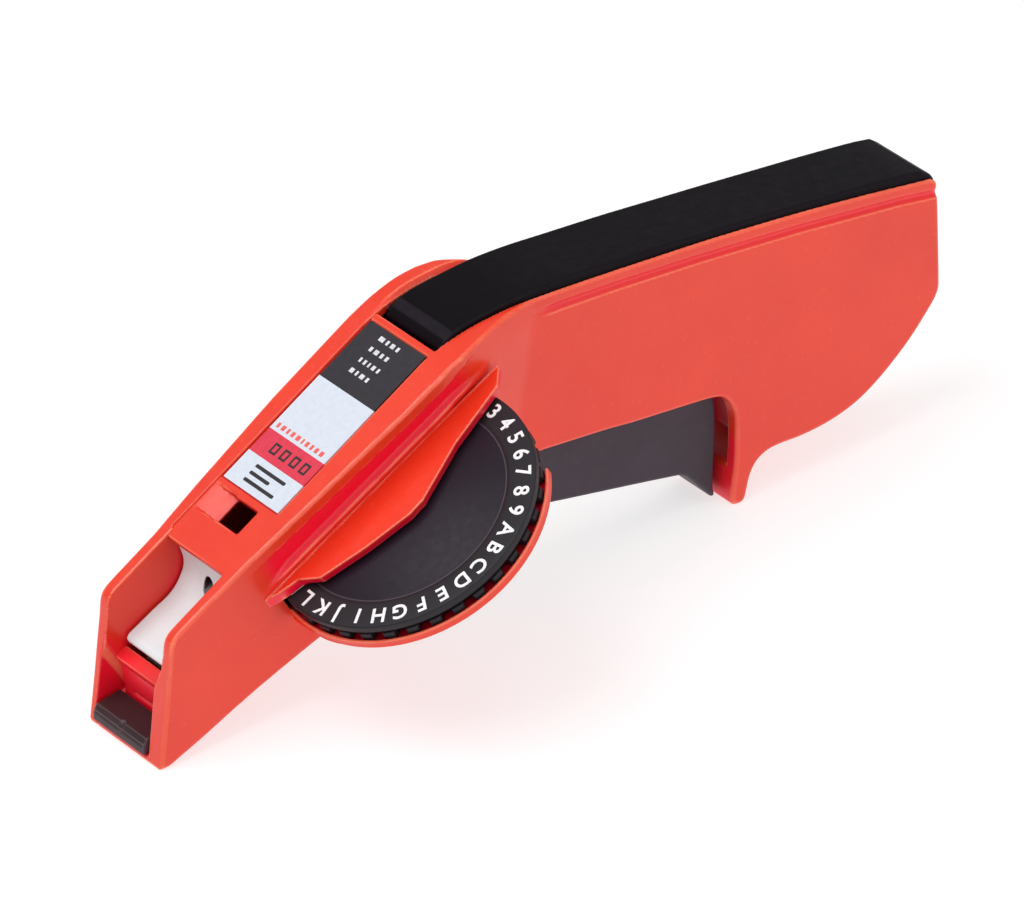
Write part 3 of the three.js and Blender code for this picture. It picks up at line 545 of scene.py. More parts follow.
def grip_lid():
    """Black grip: crowned top, chamfered front edge and two hook feet under it."""
    h = 0.45
    G = Grid((-137.7, -29.3, -63.5), (-25.6, -7.7, 14.7), h)
    top = [[-27.1, 11.0, 1], [-27.9, 12.3, 1], [-30.2, 13.2], [-33.5, 12.7], [-38.0, 11.0], [-43.0, 8.7], [-48.4, 6.0], [-56.2, 1.2], [-64.6, -4.7], [-77.2, -13.6], [-90, -23.0],
           [-98.6, -29.3], [-111.5, -38.9], [-120.1, -45.3], [-131.9, -54.4], [-135.0, -57.1, 1], [-136.1, -59.8], [-136.0, -61.9, 1]]
    low = [[-133.9, -61.6, 1], [-133.2, -59.8], [-121.8, -50.4], [-109.0, -40.2], [-87.0, -23.9], [-65.6, -8.6], [-56.6, -2.6], [-47.4, 3.2], [-38.4, 7.9], [-33.2, 9.8], [-30.6, 9.2], [-29.4, 8.5], [-28.0, 8.9], [-27.1, 9.9, 1]]
    side = G.side(polyline(top + low, 0.7))
    w = np.maximum(LID_Y[0] - G.y, G.y - LID_Y[1])
    F = rmax(side, w, 0.65)
    hook = np.maximum(G.side(polyline(corners([[-126, -53.2], [-124.0, -51.6], [-123.4, -56.6], [-125.2, -58.0]]), 9)), np.minimum(np.abs(G.y + 23) - 1.5, np.abs(G.y + 14) - 1.5))
    F = rmin(F, hook, 0.3)
    F = np.maximum(F, -G.cyl_y(-29.6, 10.4, 1.15, -60, 0))
    o = field_object("grip_cover", F, G, 0.22)
    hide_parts("grip_lid")
    return o


def trigger_spring():
    """Coil spring under the trigger, with closed ends."""
    top, length, turns, R, r = (-44.0, -18.5, -16.3), 18.1, 7.5, 3.0, 0.45
    n, k = int(turns * 28), 12
    V, Fc = [], []
    for i in range(n + 1):
        t = i / n
        a = 2 * math.pi * turns * t
        # closely wound at each end
        w = t + 0.55 / (2 * math.pi) * -math.sin(2 * math.pi * t)
        zc = -r - (length - 2 * r) * w
        c = np.array([top[0] + R * math.cos(a), top[1] + R * math.sin(a), top[2] + zc])
        u = np.array([math.cos(a), math.sin(a), 0.0])
        for j in range(k):
            b = 2 * math.pi * j / k
            V.append(c + r * (math.cos(b) * u + math.sin(b) * np.array([0, 0, 1.0])))
    for i in range(n):
        for j in range(k):
            l = (j + 1) % k
            Fc.append((i * k + j, i * k + l, (i + 1) * k + l, (i + 1) * k + j))
    Fc.append(tuple(range(k - 1, -1, -1)))
    Fc.append(tuple(n * k + j for j in range(k)))
    o = mesh_object("return_spring", V, Fc)
    bm = bmesh.new()
    bm.from_mesh(o.data)
    bmesh.ops.recalc_face_normals(bm, faces=bm.faces)
    bm.to_mesh(o.data)
    bm.free()
    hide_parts("trigger_return_spring")
    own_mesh(o)
    return o


def trigger_piece():
    h = 0.4
    G = Grid((-72.2, -26.8, -83.2), (34.0, -10.2, -6.2), h)
    out = [
        [28.4, -11.4, 1], [26.6, -11.8], [12, -11.8], [0, -13.2], [-12, -15.6], [-24, -20.0], [-34, -25.8], [-50, -37.8], [-66, -49.8], [-69.6, -53.0], [-70.6, -56.4], [-70.4, -60.8],
        [-68.2, -65.4], [-64.2, -72.0], [-59.7, -79.2], [-58.9, -81.6, 1], [-58.0, -81.2, 1], [-57.0, -75.9], [-56.2, -71.8, 1],
        [-55.2, -69.8], [-52.2, -66.9], [-27.8, -45.0], [-15.4, -33.6], [-5.0, -24.0], [-3.2, -18.6], [0, -17.5], [14, -15.9], [28.2, -13.3, 1],
    ]
    side = G.side(polyline(out, 0.7))
    w = np.maximum(TRIG_Y[0] - G.y, G.y - TRIG_Y[1])
    F = rmax(side, w, 0.8)
    F = rmin(F, G.cyl_y(29.5, -10.6, 3.0, TRIG_Y[0], TRIG_Y[1]), 0.4)
    F = np.maximum(F, -G.cyl_y(29.5, -10.6, 1.58, -60, 0))
    hol = np.maximum(G.side(polyline(corners([[-12, 0], [-12, -27], [-30, -41.5], [-55, -63.3], [-59.4, -68.6], [-67.5, -62], [-68.3, -57], [-66, -20]]), 9)),
                     np.maximum(TRIG_Y[0] + 1.8 - G.y, G.y - TRIG_Y[1] + 1.8))
    F = rsub(F, hol, 0.25)
    F = rmin(F, G.box(-47.2, -40.8, TRIG_Y[0] + 1.0, TRIG_Y[1] - 1.0, -37.0, -35.2), 0.3)
    o = field_object("trigger_lever", F, G, 0.25)
    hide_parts("trigger")
    return o


def thumb_key():
    h = 0.28
    G = Grid((31.5, -29.0, -5.4), (56.8, -8.1, 12.5), h)
    prof = [
        [55.15, 1.0, 1], [55.0, 2.2], [54.2, 2.7], [51, 2.6], [47, 2.45], [43.5, 2.15], [41, 2.4], [38.9, 3.3], [37.0, 4.6], [35.8, 6.4], [35.1, 9.2], [34.7, 10.9, 1], [33.45, 10.9, 1],
        [33.4, 4.0], [34.4, -1.4], [36.0, -3.8], [38.0, -3.5], [38.9, -1.6], [40.6, 0.3], [46, 0.5], [53.4, 0.5, 1],
    ]
    side = G.side(polyline(prof, 0.5))
    y0, y1 = CHAN[0] + 0.35, CHAN[1] - 0.35
    F = rmax(side, np.maximum(y0 - G.y, G.y - y1), 0.45)
    F = np.maximum(F, -G.cyl_y(36.8, -2.0, 1.25, -60, 0))
    F = np.maximum(F, -G.box(33.0, 39.3, -26.4, -23.6, -6, 0.25))
    # small round hole in the steep end, off centre
    bore = np.sqrt((G.y + 18.7) ** 2 + (G.z - 4.7) ** 2) + 0 * G.x
    F = rsub(F, np.maximum(bore - 1.25, 30 - G.x), 0.2)
    # painted shade: the inside of the hole is darkened
    o = field_object("thumb_key", F, G, 0.3, 1.5, lambda co, n: 1 - sstep(1.3, 1.45, np.hypot(co[:, 1] + 18.7, co[:, 2] - 4.7)))
    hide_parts("cut_key")
    return o


def exit_piece():
    h = 0.25
    G = Grid((60.6, -30.0, -11.1), (71.8, -10.1, -4.3), h)
    prof = [[62.1, -7.95, 1], [67.7, -5.75, 1], [69.2, -6.5], [70.3, -8.15, 1], [70.0, -8.55, 1], [66.1, -9.2, 1], [63.0, -9.65, 1]]
    y0, y1 = -28.55, -11.55
    F = rmax(G.side(polyline(prof, 0.4)), np.maximum(y0 - G.y, G.y - y1), 0.3)
    # cutting groove along the lip with a small notch in its middle
    F = rsub(F, np.sqrt((G.x - 69.3) ** 2 + (G.z + 6.35) ** 2) - 0.35 + 0 * G.y, 0.12)
    notch = np.sqrt((G.y + 19.6) ** 2 + (G.z + 5.3) ** 2) - 0.75 + 0 * G.x
    F = rsub(F, np.maximum(notch, 67.4 - G.x), 0.2)
    o = field_object("tape_exit_lip", F, G, 0.4)
    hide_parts("exit_block")
    return o


def shelf():
    """Triangular shelf over the dial, sunk a little into the flank so that the two read as one moulding."""
    h = 0.28
    G = Grid((-35.5, -8.0, -1.0), (34.2, 7.9, 4.7), h)
    plan = [[32.6, -6.0, 1], [29.4, -4.6, 1], [25.2, -3.4, 1], [22.3, 0.6, 1], [12, 3.9], [1.2, 6.35, 1], [-2.6, 6.3, 1], [-16, 2.2, 1], [-30.6, -0.2, 1], [-34.0, -3.4, 1], [-34.0, -4.45, 1], [32.6, -6.5, 1]]
    P = G.plan(polyline(plan, 9))
    lean = 0.3 * np.clip(2.75 - G.z, 0, 3)
    F = rmax(P + lean * sstep(-4.2, -2.6, G.y), np.maximum(0.45 - G.z, G.z - 3.05), 0.15)
    # raised bead along the foot of the flank
    x0, y0, x1, y1 = -34.0, -4.0, 32.4, -6.0
    ex, ey = x1 - x0, y1 - y0
    t = np.clip(((G.x - x0) * ex + (G.y - y0) * ey) / (ex * ex + ey * ey), 0, 1)
    d = np.sqrt((G.x - x0 - ex * t) ** 2 + (G.y - y0 - ey * t) ** 2 + (G.z - 2.98) ** 2) - 0.26
    F = rmin(F, d, 0.15)
    hub = np.sqrt(G.x ** 2 + G.y ** 2) - 1.6 + 0 * G.z
    F = np.maximum(F, -np.maximum(hub, G.z - 2.3))
    # painted shade: the band below the top edge takes the red's zone shade colour
    o = field_object("dial_shelf", F, G, 0.3, 0.6, lambda co, n: 1 - sstep(2.45, 2.8, co[:, 2]))
    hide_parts("dial_bridge")
    return o


def guard():
    """Half-round tray under the dial with a raised rim and a foot against the flank."""
    h = 0.25
    G = Grid((-32.4, -8.2, -8.2), (32.4, 32.0, -2.4), h)
    d = np.sqrt(G.x ** 2 + G.y ** 2)
    tray = rmax(d - 30.3 + 0 * G.z, np.maximum(-5.85 - G.z, G.z + 5.25), 0.28)
    rim = rmax(np.abs(d - 29.97) - 0.34 + 0 * G.z, np.maximum(-5.75 - G.z, G.z + 3.9), 0.2)
    F = rmin(tray, rim, 0.3)
    F = np.maximum(F, -(np.sqrt(G.x ** 2 + G.y ** 2) - 1.8 + 0 * G.z))
    foot = [[30.0, -5.6], [30.6, -4.8], [29.9, 5.2], [29.0, 8.2], [24.0, 12.0], [-24.0, 12.0], [-29.0, 8.2], [-31.0, -2.9], [-28, -2.6], [-22, -2.3], [-11, -2.8], [3, -3.7], [16, -4.7]]
    f = rmax(G.plan(polyline(corners(foot), 9)), np.maximum(-6.3 - G.z, G.z + 5.4), 0.3)
    f = np.maximum(f, -(d - 4.2 + 0 * G.z))
    F = rmin(F, f, 0.6)
    # the rim stops short at the rear, and all is cut back to the flank
    F = rsub(F, np.maximum(0.602 * G.x + 0.799 * G.y, 25.0 - d) + 0 * G.z, 0.4)
    back = G.plan(polyline(corners([[80, -6.3], [30, -5.95], [16, -4.95], [3, -3.95], [-11, -3.05], [-22, -2.55], [-28, -2.85], [-33, -4.0], [-40, -6.2], [-40, -60], [80, -60]]), 9))
    F = np.maximum(F, -back)
    # painted shade: the tray under the disc, inside the rim, takes the red's zone shade colour
    o = field_object("dial_tray", F, G, 0.45, 0.6, lambda co, n: 1 - sstep(29.55, 29.7, np.hypot(co[:, 0], co[:, 1])))
    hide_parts("dial_guard")
    return o


# ------------------------------------------------------------------ turned and toothed pieces
def revolve(name, prof, n=180, teeth=None):
    """Closed profile of (r, z) turned about the dial axis. teeth(angle) gives a radius scale near the rim."""
    verts, faces = [], []
    m = len(prof)
    for i in range(n):
        a = 2 * math.pi * i / n
        for r, z in prof:
            rr = r if teeth is None else teeth(a, r, z)
            verts.append((rr * math.cos(a), rr * math.sin(a), z))
    for i in range(n):
        j = (i + 1) % n
        for k in range(m):
            l = (k + 1) % m
            faces.append((i * m + k, j * m + k, j * m + l, i * m + l))
    o = mesh_object(name, verts, faces)
    bm = bmesh.new()
    bm.from_mesh(o.data)
    bmesh.ops.recalc_face_normals(bm, faces=bm.faces)
    bm.to_mesh(o.data)
    bm.free()
    sharp_by_angle(o, 35)
    return o


def sharp_by_angle(o, deg):
    me = o.data
    bm = bmesh.new()
    bm.from_mesh(me)
    lim = math.radians(deg)
    for e in bm.edges:
        if len(e.link_faces) == 2:
            e.smooth = e.calc_face_angle(0) < lim
    bm.to_mesh(me)
    bm.free()


def dial_parts():
    up = [(3.08, 0.0), (6.2, 0.0), (6.6, -0.06), (22.7, -0.06), (22.82, -0.14), (22.95, -0.17), (23.08, -0.14), (23.2, -0.05), (24, 0), (28.95, 0.0),
          (29.2, -0.05), (29.36, -0.2), (29.4, -0.4), (29.4, -1.6), (29.3, -1.85), (29.1, -1.95), (27.2, -1.95), (27.0, -1.8), (6.2, -1.8), (6.0, -1.95), (6.0, -2.4), (3.08, -2.4)]
    upper = revolve("letter_disc", up, 240)
    lo = [(3.08, -2.75), (26.7, -2.75), (27.0, -2.5), (28.9, -2.5), (29.25, -2.65), (29.4, -2.95), (29.4, -4.4), (29.25, -4.65), (28.9, -4.8), (26.9, -4.8), (3.08, -4.8)]

    def teeth(a, r, z):
        if r < 27.5:
            return r
        t = (a / (2 * math.pi) * 36 + 0.5) % 1.0
        w = sstep(0.17, 0.27, t) * (1 - sstep(0.73, 0.83, t))
        return r - (1 - float(w)) * 1.9
    lower = revolve("toothed_disc", lo, 36 * 20, teeth)
    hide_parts("letter_disc_upper")
    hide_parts("letter_disc_lower")
    # characters, moulded just proud of the ring
    chars = "0123456789ABCDEFGHIJKLMNOPQRSTUVWXYZ"
    allv, allf = [], []
    for ch in chars:
        cu = bpy.data.curves.new("t_" + ch, "FONT")
        cu.body = ch
        cu.size = 4.7
        cu.offset = 0.02 if ch in "MW" else 0.085
        cu.extrude = 0.06
        cu.resolution_u = 4
        cu.align_x = "CENTER"
        ob = bpy.data.objects.new("t_" + ch, cu)
        bpy.context.scene.collection.objects.link(ob)
        dg = bpy.context.evaluated_depsgraph_get()
        me = bpy.data.meshes.new_from_object(ob.evaluated_get(dg))
        co = np.array([v.co for v in me.vertices]).reshape(-1, 3)
        cx = (co[:, 0].min() + co[:, 0].max()) / 2
        cy = (co[:, 1].min() + co[:, 1].max()) / 2
        co -= (cx, cy, co[:, 2].min())
        k = chars.index(ch) - 3
        th = math.radians(10 * k + 2.6)
        # outward direction of this place on the ring, tops outward
        ox, oy = -math.cos(th), math.sin(th)
        rx, ry = oy, -ox
        p = np.stack([26.65 * ox + co[:, 0] * rx + co[:, 1] * ox, 26.65 * oy + co[:, 0] * ry + co[:, 1] * oy, 0.0 + co[:, 2]], 1)
        base = len(allv)
        allv += [tuple(q) for q in p]
        allf += [tuple(base + i for i in f.vertices) for f in me.polygons]
        bpy.data.objects.remove(ob)
        bpy.data.meshes.remove(me)
        bpy.data.curves.remove(cu)
    text = mesh_object("dial_characters", allv, allf, False)
    return upper, lower, text


def label():
    """Printed strip with plain generic marks, each a thin layer of ink just proud of it."""
    z0, z1 = PLATE_Z - 0.5, PLATE_Z - 0.06
    pieces = {}

    def slab(x0, x1, y0, y1, a, b, r=0.0):
        seg = 5
        pts = []
        for cx, cy, s in ((x1 - r, y1 - r, 0), (x0 + r, y1 - r, 90), (x0 + r, y0 + r, 180), (x1 - r, y0 + r, 270)):
            for i in range(seg if r else 1):
                an = math.radians(s + (90 * i / (seg - 1) if r else 45))
                pts.append((cx + r * math.cos(an), cy + r * math.sin(an)))
        n = len(pts)
        v = [(x, y, a) for x, y in pts] + [(x, y, b) for x, y in pts]
        f = [tuple(range(n - 1, -1, -1)), tuple(range(n, 2 * n))] + [(i, (i + 1) % n, n + (i + 1) % n, n + i) for i in range(n)]
        return v, f

    def build(name, slabs):
        V, Fc = [], []
        for v, f in slabs:
            b = len(V)
            V += v
            Fc += [tuple(b + i for i in q) for q in f]
        return mesh_object(name, V, Fc, False)

    y0, y1 = -27.7, -9.9
    pieces["label_black"] = build("label_black", [slab(-24.7, -9.4, y0, y1, z0, z1)])
    pieces["label_white"] = build("label_white", [slab(-9.4, 5.3, y0, y1, z0, z1), slab(11.4, 18.9, y0, y1, z0, z1)])
    pieces["label_crimson"] = build("label_crimson", [slab(5.3, 11.4, y0, y1, z0, z1)])
    t = z1 + 0.03
    ink = []
    rows = [(-22.6, [1.5, .7, 1.1, .7]), (-19.7, [.8, 1.2, .8, .8]), (-16.7, [.6, .7, .5, .9, .6]), (-13.9, [1.1, .6, 1.2, .7])]
    for x, ws in rows:
        y = -22.6
        for w in ws:
            ink.append(slab(x - 0.55, x + 0.55, y, y + w, z1, t))
            y += w + 0.75
    pieces["label_marks_white"] = build("label_marks_white", ink)
    ink = []
    y = -26.6
    for w in (.7, 1.0, .7, .9, 1.1, .5, .9, .7, .9, 1.0):
        ink.append(slab(3.3, 4.5, y, y + w, z1, t))
        y += w + 0.72
    pieces["label_marks_crimson"] = build("label_marks_crimson", ink)
    ink = []
    for y in (-23.4, -20.2, -17.0, -13.8):
        ink.append(slab(7.1, 9.7, y, y + 0.5, z1, t))
        ink.append(slab(7.1, 9.7, y + 1.5, y + 2.0, z1, t))
        ink.append(slab(7.1, 7.6, y + 0.5, y + 1.5, z1, t))
        ink.append(slab(9.2, 9.7, y + 0.5, y + 1.5, z1, t))
    for x, w in ((12.9, 9.5), (14.7, 6.2), (16.5, 9.5)):
        ink.append(slab(x, x + 0.8, -23.2, -23.2 + w, z1, t, 0.3))
    pieces["label_marks_black"] = build("label_marks_black", ink)
    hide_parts("label_strip")
    return pieces


# ------------------------------------------------------------------ materials
class Mat:
    """Small helper for node materials. Patterns use the dial frame in millimetres, carried by each piece."""

    def __init__(self, name):
        self.m = bpy.data.materials.new(name)
        self.m.use_nodes = True
        self.nt = self.m.node_tree
        self.nt.nodes.clear()
        self.out = self.nt.nodes.new("ShaderNodeOutputMaterial")
        self.b = self.nt.nodes.new("ShaderNodeBsdfPrincipled")
        self.nt.links.new(self.b.outputs[0], self.out.inputs[0])
        tc = self.nt.nodes.new("ShaderNodeTexCoord")
        mp = self.nt.nodes.new("ShaderNodeMapping")
        inv = ROT.T @ np.array(SHIFT)
        mp.inputs["Scale"].default_value = (1000, 1000, 1000)
        mp.inputs["Rotation"].default_value = (0, -TILT, 0)
        mp.inputs["Location"].default_value = (-inv[0], -inv[1], -inv[2])
        self.nt.links.new(tc.outputs["Object"], mp.inputs["Vector"])
        self.co = mp.outputs[0]

    def link(self, a, b):
        self.nt.links.new(a, b)

    def noise(self, scale, detail=3.0, rough=0.55, stretch=None):
        n = self.nt.nodes.new("ShaderNodeTexNoise")
        n.inputs["Scale"].default_value = scale
        n.inputs["Detail"].default_value = detail
        n.inputs["Roughness"].default_value = rough
        co = self.co
        if stretch:
            mp = self.nt.nodes.new("ShaderNodeMapping")
            mp.inputs["Scale"].default_value = stretch
            self.link(co, mp.inputs[0])
            co = mp.outputs[0]
        self.link(co, n.inputs["Vector"])
        return n.outputs["Fac"]

    def math(self, op, a, b=None, clamp=False):
        n = self.nt.nodes.new("ShaderNodeMath")
        n.operation = op
        n.use_clamp = clamp
        for i, v in enumerate((a, b)):
            if v is None:
                continue
            if isinstance(v, (int, float)):
                n.inputs[i].default_value = v
            else:
                self.link(v, n.inputs[i])
        return n.outputs[0]

    def ramp(self, v, lo, hi, a, b):
        n = self.nt.nodes.new("ShaderNodeMapRange")
        n.inputs["From Min"].default_value = lo
        n.inputs["From Max"].default_value = hi
        n.inputs["To Min"].default_value = a
        n.inputs["To Max"].default_value = b
        self.link(v, n.inputs["Value"])
        return n.outputs[0]

    def mix(self, f, a, b):
        n = self.nt.nodes.new("ShaderNodeMix")
        n.data_type = "RGBA"
        for i, v in ((0, f), (6, a), (7, b)):
            if isinstance(v, (int, float)):
                n.inputs[i].default_value = v
            elif isinstance(v, tuple):
                n.inputs[i].default_value = (*v, 1)
            else:
                self.link(v, n.inputs[i])
        return n.outputs[2]

    def attr(self, name):
        n = self.nt.nodes.new("ShaderNodeAttribute")
        n.attribute_name = name
        return n.outputs["Fac"]

    def bump(self, height, strength, dist, before=None):
        n = self.nt.nodes.new("ShaderNodeBump")
        n.inputs["Strength"].default_value = strength
        n.inputs["Distance"].default_value = dist
        self.link(height, n.inputs["Height"])
        if before is not None:
            self.link(before, n.inputs["Normal"])
        return n.outputs[0]

    def radius(self):
        s = self.nt.nodes.new("ShaderNodeSeparateXYZ")
        self.link(self.co, s.inputs[0])
        x2 = self.math("MULTIPLY", s.outputs[0], s.outputs[0])
        y2 = self.math("MULTIPLY", s.outputs[1], s.outputs[1])
        return self.math("SQRT", self.math("ADD", x2, y2))

    def done(self, color, rough, normal, **fixed):
        self.link(color, self.b.inputs["Base Color"])
        self.link(rough, self.b.inputs["Roughness"])
        if normal is not None:
            self.link(normal, self.b.inputs["Normal"])
        for k, v in fixed.items():
            self.b.inputs[k.replace("_", " ")].default_value = v
        return self.m


def lin(r, g, b):
    return tuple((c / 255 / 12.92) if c / 255 <= 0.04045 else ((c / 255 + 0.055) / 1.055) ** 2.4 for c in (r, g, b))


def plastic(name, base, dark, edge, painted_shade_color, r0, r1, grain=0.10, coat=0.0, edge_amt=0.55, painted_shade_amt=0.6, field=True, ior=1.49, painted_zone_shade=None):
    """Moulded plastic: slow colour drift, fine grain, faint rub marks, lighter corners (wear and a painted highlight),
    painted shade in inner corners and, where given, painted shade in set zones.
    """
    M = Mat(name)
    slow = M.noise(0.045, 3.0)
    col = M.mix(M.ramp(slow, 0.35, 0.65, 0, 1), base, dark)
    speck = M.noise(0.9, 4.0, 0.6)
    col = M.mix(M.ramp(speck, 0.60, 0.78, 0, 0.16), col, edge)
    if field:
        # painted shade: inner corners and pockets are darkened towards the shade colour
        painted_cavity_shade = M.ramp(M.attr("painted_cavity_shade"), 0.12, 0.75, 0, painted_shade_amt)
        col = M.mix(painted_cavity_shade, col, painted_shade_color)
        # painted shade: the given zones take the shade colour
        if painted_zone_shade:
            col = M.mix(M.attr("painted_zone_shade"), col, painted_zone_shade)
        # worn corners, lightened partly as wear and partly as a painted highlight
        wear_and_highlight = M.math("MULTIPLY", M.attr("edge"), M.ramp(M.noise(0.35, 3.0), 0.2, 0.6, 0.6, 1.0))
        col = M.mix(M.math("MULTIPLY", wear_and_highlight, edge_amt, True), col, edge)
    rub = M.noise(0.4, 5.0, 0.65)
    rough = M.ramp(rub, 0.3, 0.7, r0, r1)
    fine = M.noise(5.5, 2.0, 0.5)
    scratch = M.noise(0.5, 4.0, 0.7, (0.5, 0.5, 0.8))
    n = M.bump(fine, grain, 0.00006)
    n = M.bump(M.ramp(scratch, 0.62, 0.78, 0, 1), 0.03, 0.00003, n)
    wave = M.noise(0.05, 1.0)
    n = M.bump(wave, 0.06, 0.0006, n)
    return M.done(col, rough, n, Coat_Weight=coat, Coat_Roughness=0.22, IOR=ior)


def metal(name, base, dark, r0, r1):
    M = Mat(name)
    br = M.noise(2.2, 4.0, 0.6, (0.15, 1.0, 1.0))
    col = M.mix(M.ramp(M.noise(0.5, 3.0), 0.3, 0.7, 0, 1), base, dark)
    n = M.bump(br, 0.12, 0.00005)
    return M.done(col, M.ramp(br, 0.3, 0.7, r0, r1), n, Metallic=1.0)


def make_materials():
    m = {}
    # each plastic's fourth colour is the painted shade for inner corners and pockets
    # each plastic's third colour lightens specks, and corners as wear and as a painted highlight
    # the last colour of red and of the white key is the painted shade for given zones
    m["red"] = plastic("red_plastic", lin(234, 54, 22), lin(228, 49, 22), lin(255, 134, 100), lin(210, 4, 32), 0.30, 0.42, 0.08, 0.10, 0.75, 0.7, painted_zone_shade=lin(246, 10, 50))
    m["grip"] = plastic("grip_black", lin(12, 6, 13), lin(9, 5, 10), lin(46, 40, 50), lin(5, 3, 6), 0.42, 0.54, 0.10, 0.0, 0.45, 0.5, ior=1.17)
    m["trigger"] = plastic("trigger_grey", lin(62, 51, 61), lin(55, 45, 54), lin(98, 88, 97), lin(26, 22, 26), 0.42, 0.55, 0.1, 0.0, 0.4, 0.5, ior=1.33)
    m["key"] = plastic("key_white", lin(230, 238, 240), lin(222, 230, 233), lin(246, 250, 250), lin(206, 186, 194), 0.30, 0.42, 0.08, 0.05, 0.4, 0.4, painted_zone_shade=lin(42, 34, 38))
    m["lip"] = plastic("lip_black", lin(56, 32, 36), lin(44, 27, 31), lin(92, 78, 84), lin(12, 9, 12), 0.32, 0.44, 0.12, 0.0, 0.6, 0.4, ior=1.38)
    m["nylon"] = plastic("nylon_natural", lin(219, 214, 202), lin(206, 198, 184), lin(235, 232, 224), lin(180, 172, 160), 0.42, 0.55, 0.1, field=False)
    m["rubber"] = plastic("rubber_black", lin(38, 37, 38), lin(28, 28, 28), lin(66, 64, 64), lin(12, 12, 12), 0.75, 0.9, 0.4, field=False)
    m["tape"] = plastic("tape_blue", lin(44, 84, 172), lin(36, 70, 150), lin(92, 130, 205), lin(14, 26, 70), 0.28, 0.38, 0.06, 0.2, field=False)
    m["steel"] = metal("steel_bright", lin(196, 198, 202), lin(168, 170, 176), 0.24, 0.40)
    # dial: the letter ring in a greyer tone than the inner face, with a light line between them
    M = Mat("dial_dark")
    r = M.radius()
    ring = M.ramp(r, 22.9, 23.3, 0, 1)
    col = M.mix(M.ramp(M.noise(0.06, 3.0), 0.35, 0.65, 0, 1), lin(34, 24, 37), lin(29, 21, 32))
    col = M.mix(ring, col, lin(37, 35, 40))
    line = M.math("MULTIPLY", M.ramp(r, 22.72, 22.9, 0, 1), M.ramp(r, 23.0, 23.18, 1, 0))
    col = M.mix(M.math("MULTIPLY", line, 0.45, True), col, lin(104, 98, 108))
    col = M.mix(M.ramp(M.noise(1.4, 4.0, 0.6), 0.62, 0.8, 0, 0.16), col, lin(84, 76, 84))
    rough = M.ramp(M.noise(0.5, 5.0, 0.65), 0.3, 0.7, 0.38, 0.52)
    n = M.bump(M.noise(5.0, 2.0), 0.2, 0.00006)
    m["dial"] = M.done(col, rough, n, IOR=1.28)
    M = Mat("dial_teeth")
    col = M.mix(M.ramp(M.noise(0.3, 3.0), 0.35, 0.65, 0, 1), lin(38, 35, 41), lin(29, 27, 32))
    m["teeth"] = M.done(col, M.ramp(M.noise(0.8, 4.0), 0.3, 0.7, 0.36, 0.52), M.bump(M.noise(4.0, 2.0), 0.2, 0.00006), IOR=1.33)

    def ink(name, a, b, r0=0.4, r1=0.55, grain=0.12):
        M = Mat(name)
        col = M.mix(M.ramp(M.noise(0.8, 4.0, 0.6), 0.35, 0.7, 0, 1), a, b)
        return M.done(col, M.ramp(M.noise(1.2, 4.0), 0.3, 0.7, r0, r1), M.bump(M.noise(6.0, 2.0), grain, 0.00004), IOR=1.45)
    m["letters"] = ink("letter_white", lin(250, 250, 250), lin(232, 232, 236))
    m["lab_black"] = ink("label_ink_black", lin(30, 26, 34), lin(38, 33, 42), 0.34, 0.48)
    m["lab_white"] = ink("label_film_white", lin(214, 221, 232), lin(206, 213, 225), 0.30, 0.42, 0.06)
    m["lab_crimson"] = ink("label_ink_crimson", lin(222, 52, 76), lin(208, 46, 70), 0.32, 0.44)
    m["ink_white"] = ink("mark_white", lin(225, 225, 230), lin(200, 200, 208))
    m["ink_crimson"] = ink("mark_crimson", lin(236, 98, 88), lin(228, 84, 78))
    m["ink_black"] = ink("mark_black", lin(30, 24, 30), lin(40, 32, 40))
    return m


def give(o, mat, body="housing"):
    o.data.materials.clear()
    o.data.materials.append(mat)
    if body:
        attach(o, body)
    return o


# ------------------------------------------------------------------ camera, floor, light
def camera():
    C = np.array([307.712, 1196.513, 1299.783])
    R = np.array([[-0.6736, 0.6233, -0.3972], [0.7158, 0.4165, -0.5604], [-0.1839, -0.6619, -0.7267]])
    U, _, Vt = np.linalg.svd(R)
    R = U @ Vt
    right, down, fwd = (ROT @ R[i] for i in range(3))
    pos = to_row(C)[0]
    cam = bpy.data.cameras.new("view_camera")
    cam.sensor_width = 36.0
    cam.lens = 8995.306 / 1024 * 36.0
    cam.clip_end = 50
    o = bpy.data.objects.new("view_camera", cam)
    m = Matrix.Identity(4)
    for i, v in enumerate((right, -down, -fwd)):
        for k in range(3):
            m[k][i] = v[k]
    for k in range(3):
        m[k][3] = pos[k]
    o.matrix_world = m
    bpy.context.scene.collection.objects.link(o)
    bpy.context.scene.camera = o
    return o, right, -down, -fwd


def floor():
    bm = bmesh.new()
    bmesh.ops.create_grid(bm, x_segments=24, y_segments=24, size=3.0)
    me = bpy.data.meshes.new("floor")
    bm.to_mesh(me)
    bm.free()
    o = bpy.data.objects.new("floor", me)
    o.location = (0, 0, -0.0001)
    bpy.context.scene.collection.objects.link(o)
    M = Mat("floor_pale")
    col = M.mix(M.ramp(M.noise(0.01, 2.0), 0.3, 0.7, 0, 1), (0.40, 0.40, 0.40), (0.385, 0.385, 0.39))
    o.data.materials.append(M.done(col, M.ramp(M.noise(0.02, 2.0), 0.3, 0.7, 0.75, 0.85), M.bump(M.noise(0.5, 2.0), 0.02, 0.0001),
                                   Emission_Color=(1, 1, 1, 1), Emission_Strength=0.66))
    return o


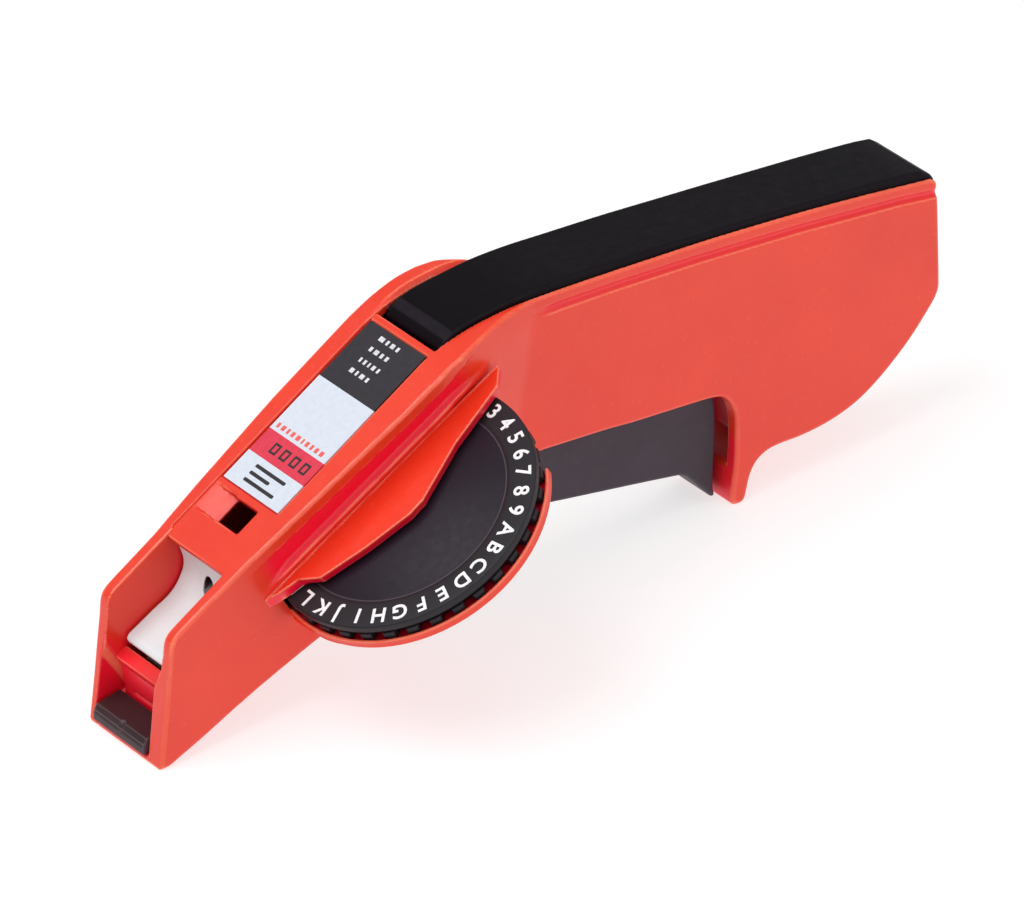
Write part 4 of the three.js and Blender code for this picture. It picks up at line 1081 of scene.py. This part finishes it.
def area_light(name, at, to, size, power, color=(1, 1, 1)):
    L = bpy.data.lights.new(name, "AREA")
    L.shape = "RECTANGLE"
    L.size, L.size_y = size
    L.energy = power
    L.color = color
    o = bpy.data.objects.new(name, L)
    o.location = at
    d = Vector(to) - Vector(at)
    o.rotation_euler = d.to_track_quat("-Z", "Y").to_euler()
    bpy.context.scene.collection.objects.link(o)
    return o


def lights(right, up, back):
    w = bpy.data.worlds.new("studio")
    w.use_nodes = True
    bg = w.node_tree.nodes["Background"]
    bg.inputs[0].default_value = (1.0, 1.0, 1.0, 1)
    bg.inputs[1].default_value = 0.50
    bpy.context.scene.world = w
    R, U, B = Vector(right), Vector(up), Vector(back)
    c = Vector((0, 0, 0.035))
    area_light("key_light", c + B * 0.75 + U * 0.75 - R * 0.55, c, (0.9, 0.7), 7.6)
    area_light("fill_light", c + B * 0.8 + R * 0.9 + U * 0.1, c, (0.9, 0.9), 2.9)
    area_light("top_light", Vector((0.0, 0.1, 1.1)), c, (1.0, 1.0), 2.0)


# ------------------------------------------------------------------ build
def build():
    m = make_materials()
    R = camera()
    floor()
    lights(*R[1:])
    give(housing(), m["red"])
    give(cover(), m["red"])
    give(grip_lid(), m["grip"], "lid")
    give(trigger_piece(), m["trigger"], "trigger")
    give(trigger_spring(), m["steel"])
    give(thumb_key(), m["key"], "key")
    give(exit_piece(), m["lip"])
    give(shelf(), m["red"])
    give(guard(), m["red"])
    up, lo, text = dial_parts()
    give(up, m["dial"], "dial")
    give(lo, m["teeth"], "dial")
    give(text, m["letters"], "dial")
    lab = label()
    for key, mk in (("label_black", "lab_black"), ("label_white", "lab_white"), ("label_crimson", "lab_crimson"),
                    ("label_marks_white", "ink_white"), ("label_marks_crimson", "ink_crimson"), ("label_marks_black", "ink_black")):
        give(lab[key], m[mk])
    finish = {"tape_roll": "tape", "tape_run": "tape", "feed_roller": "rubber", "pressure_roller": "rubber", "spool_hub": "nylon", "feed_ratchet": "nylon",
              "hammer_guide": "nylon", "blade_carrier": "nylon"}
    for n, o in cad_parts.items():
        mk = finish.get(n, "steel")
        o.data.materials.clear()
        o.data.materials.append(m[mk])


build()
bpy.context.scene.view_settings.view_transform = "Standard"
bpy.context.scene.view_settings.look = "None"
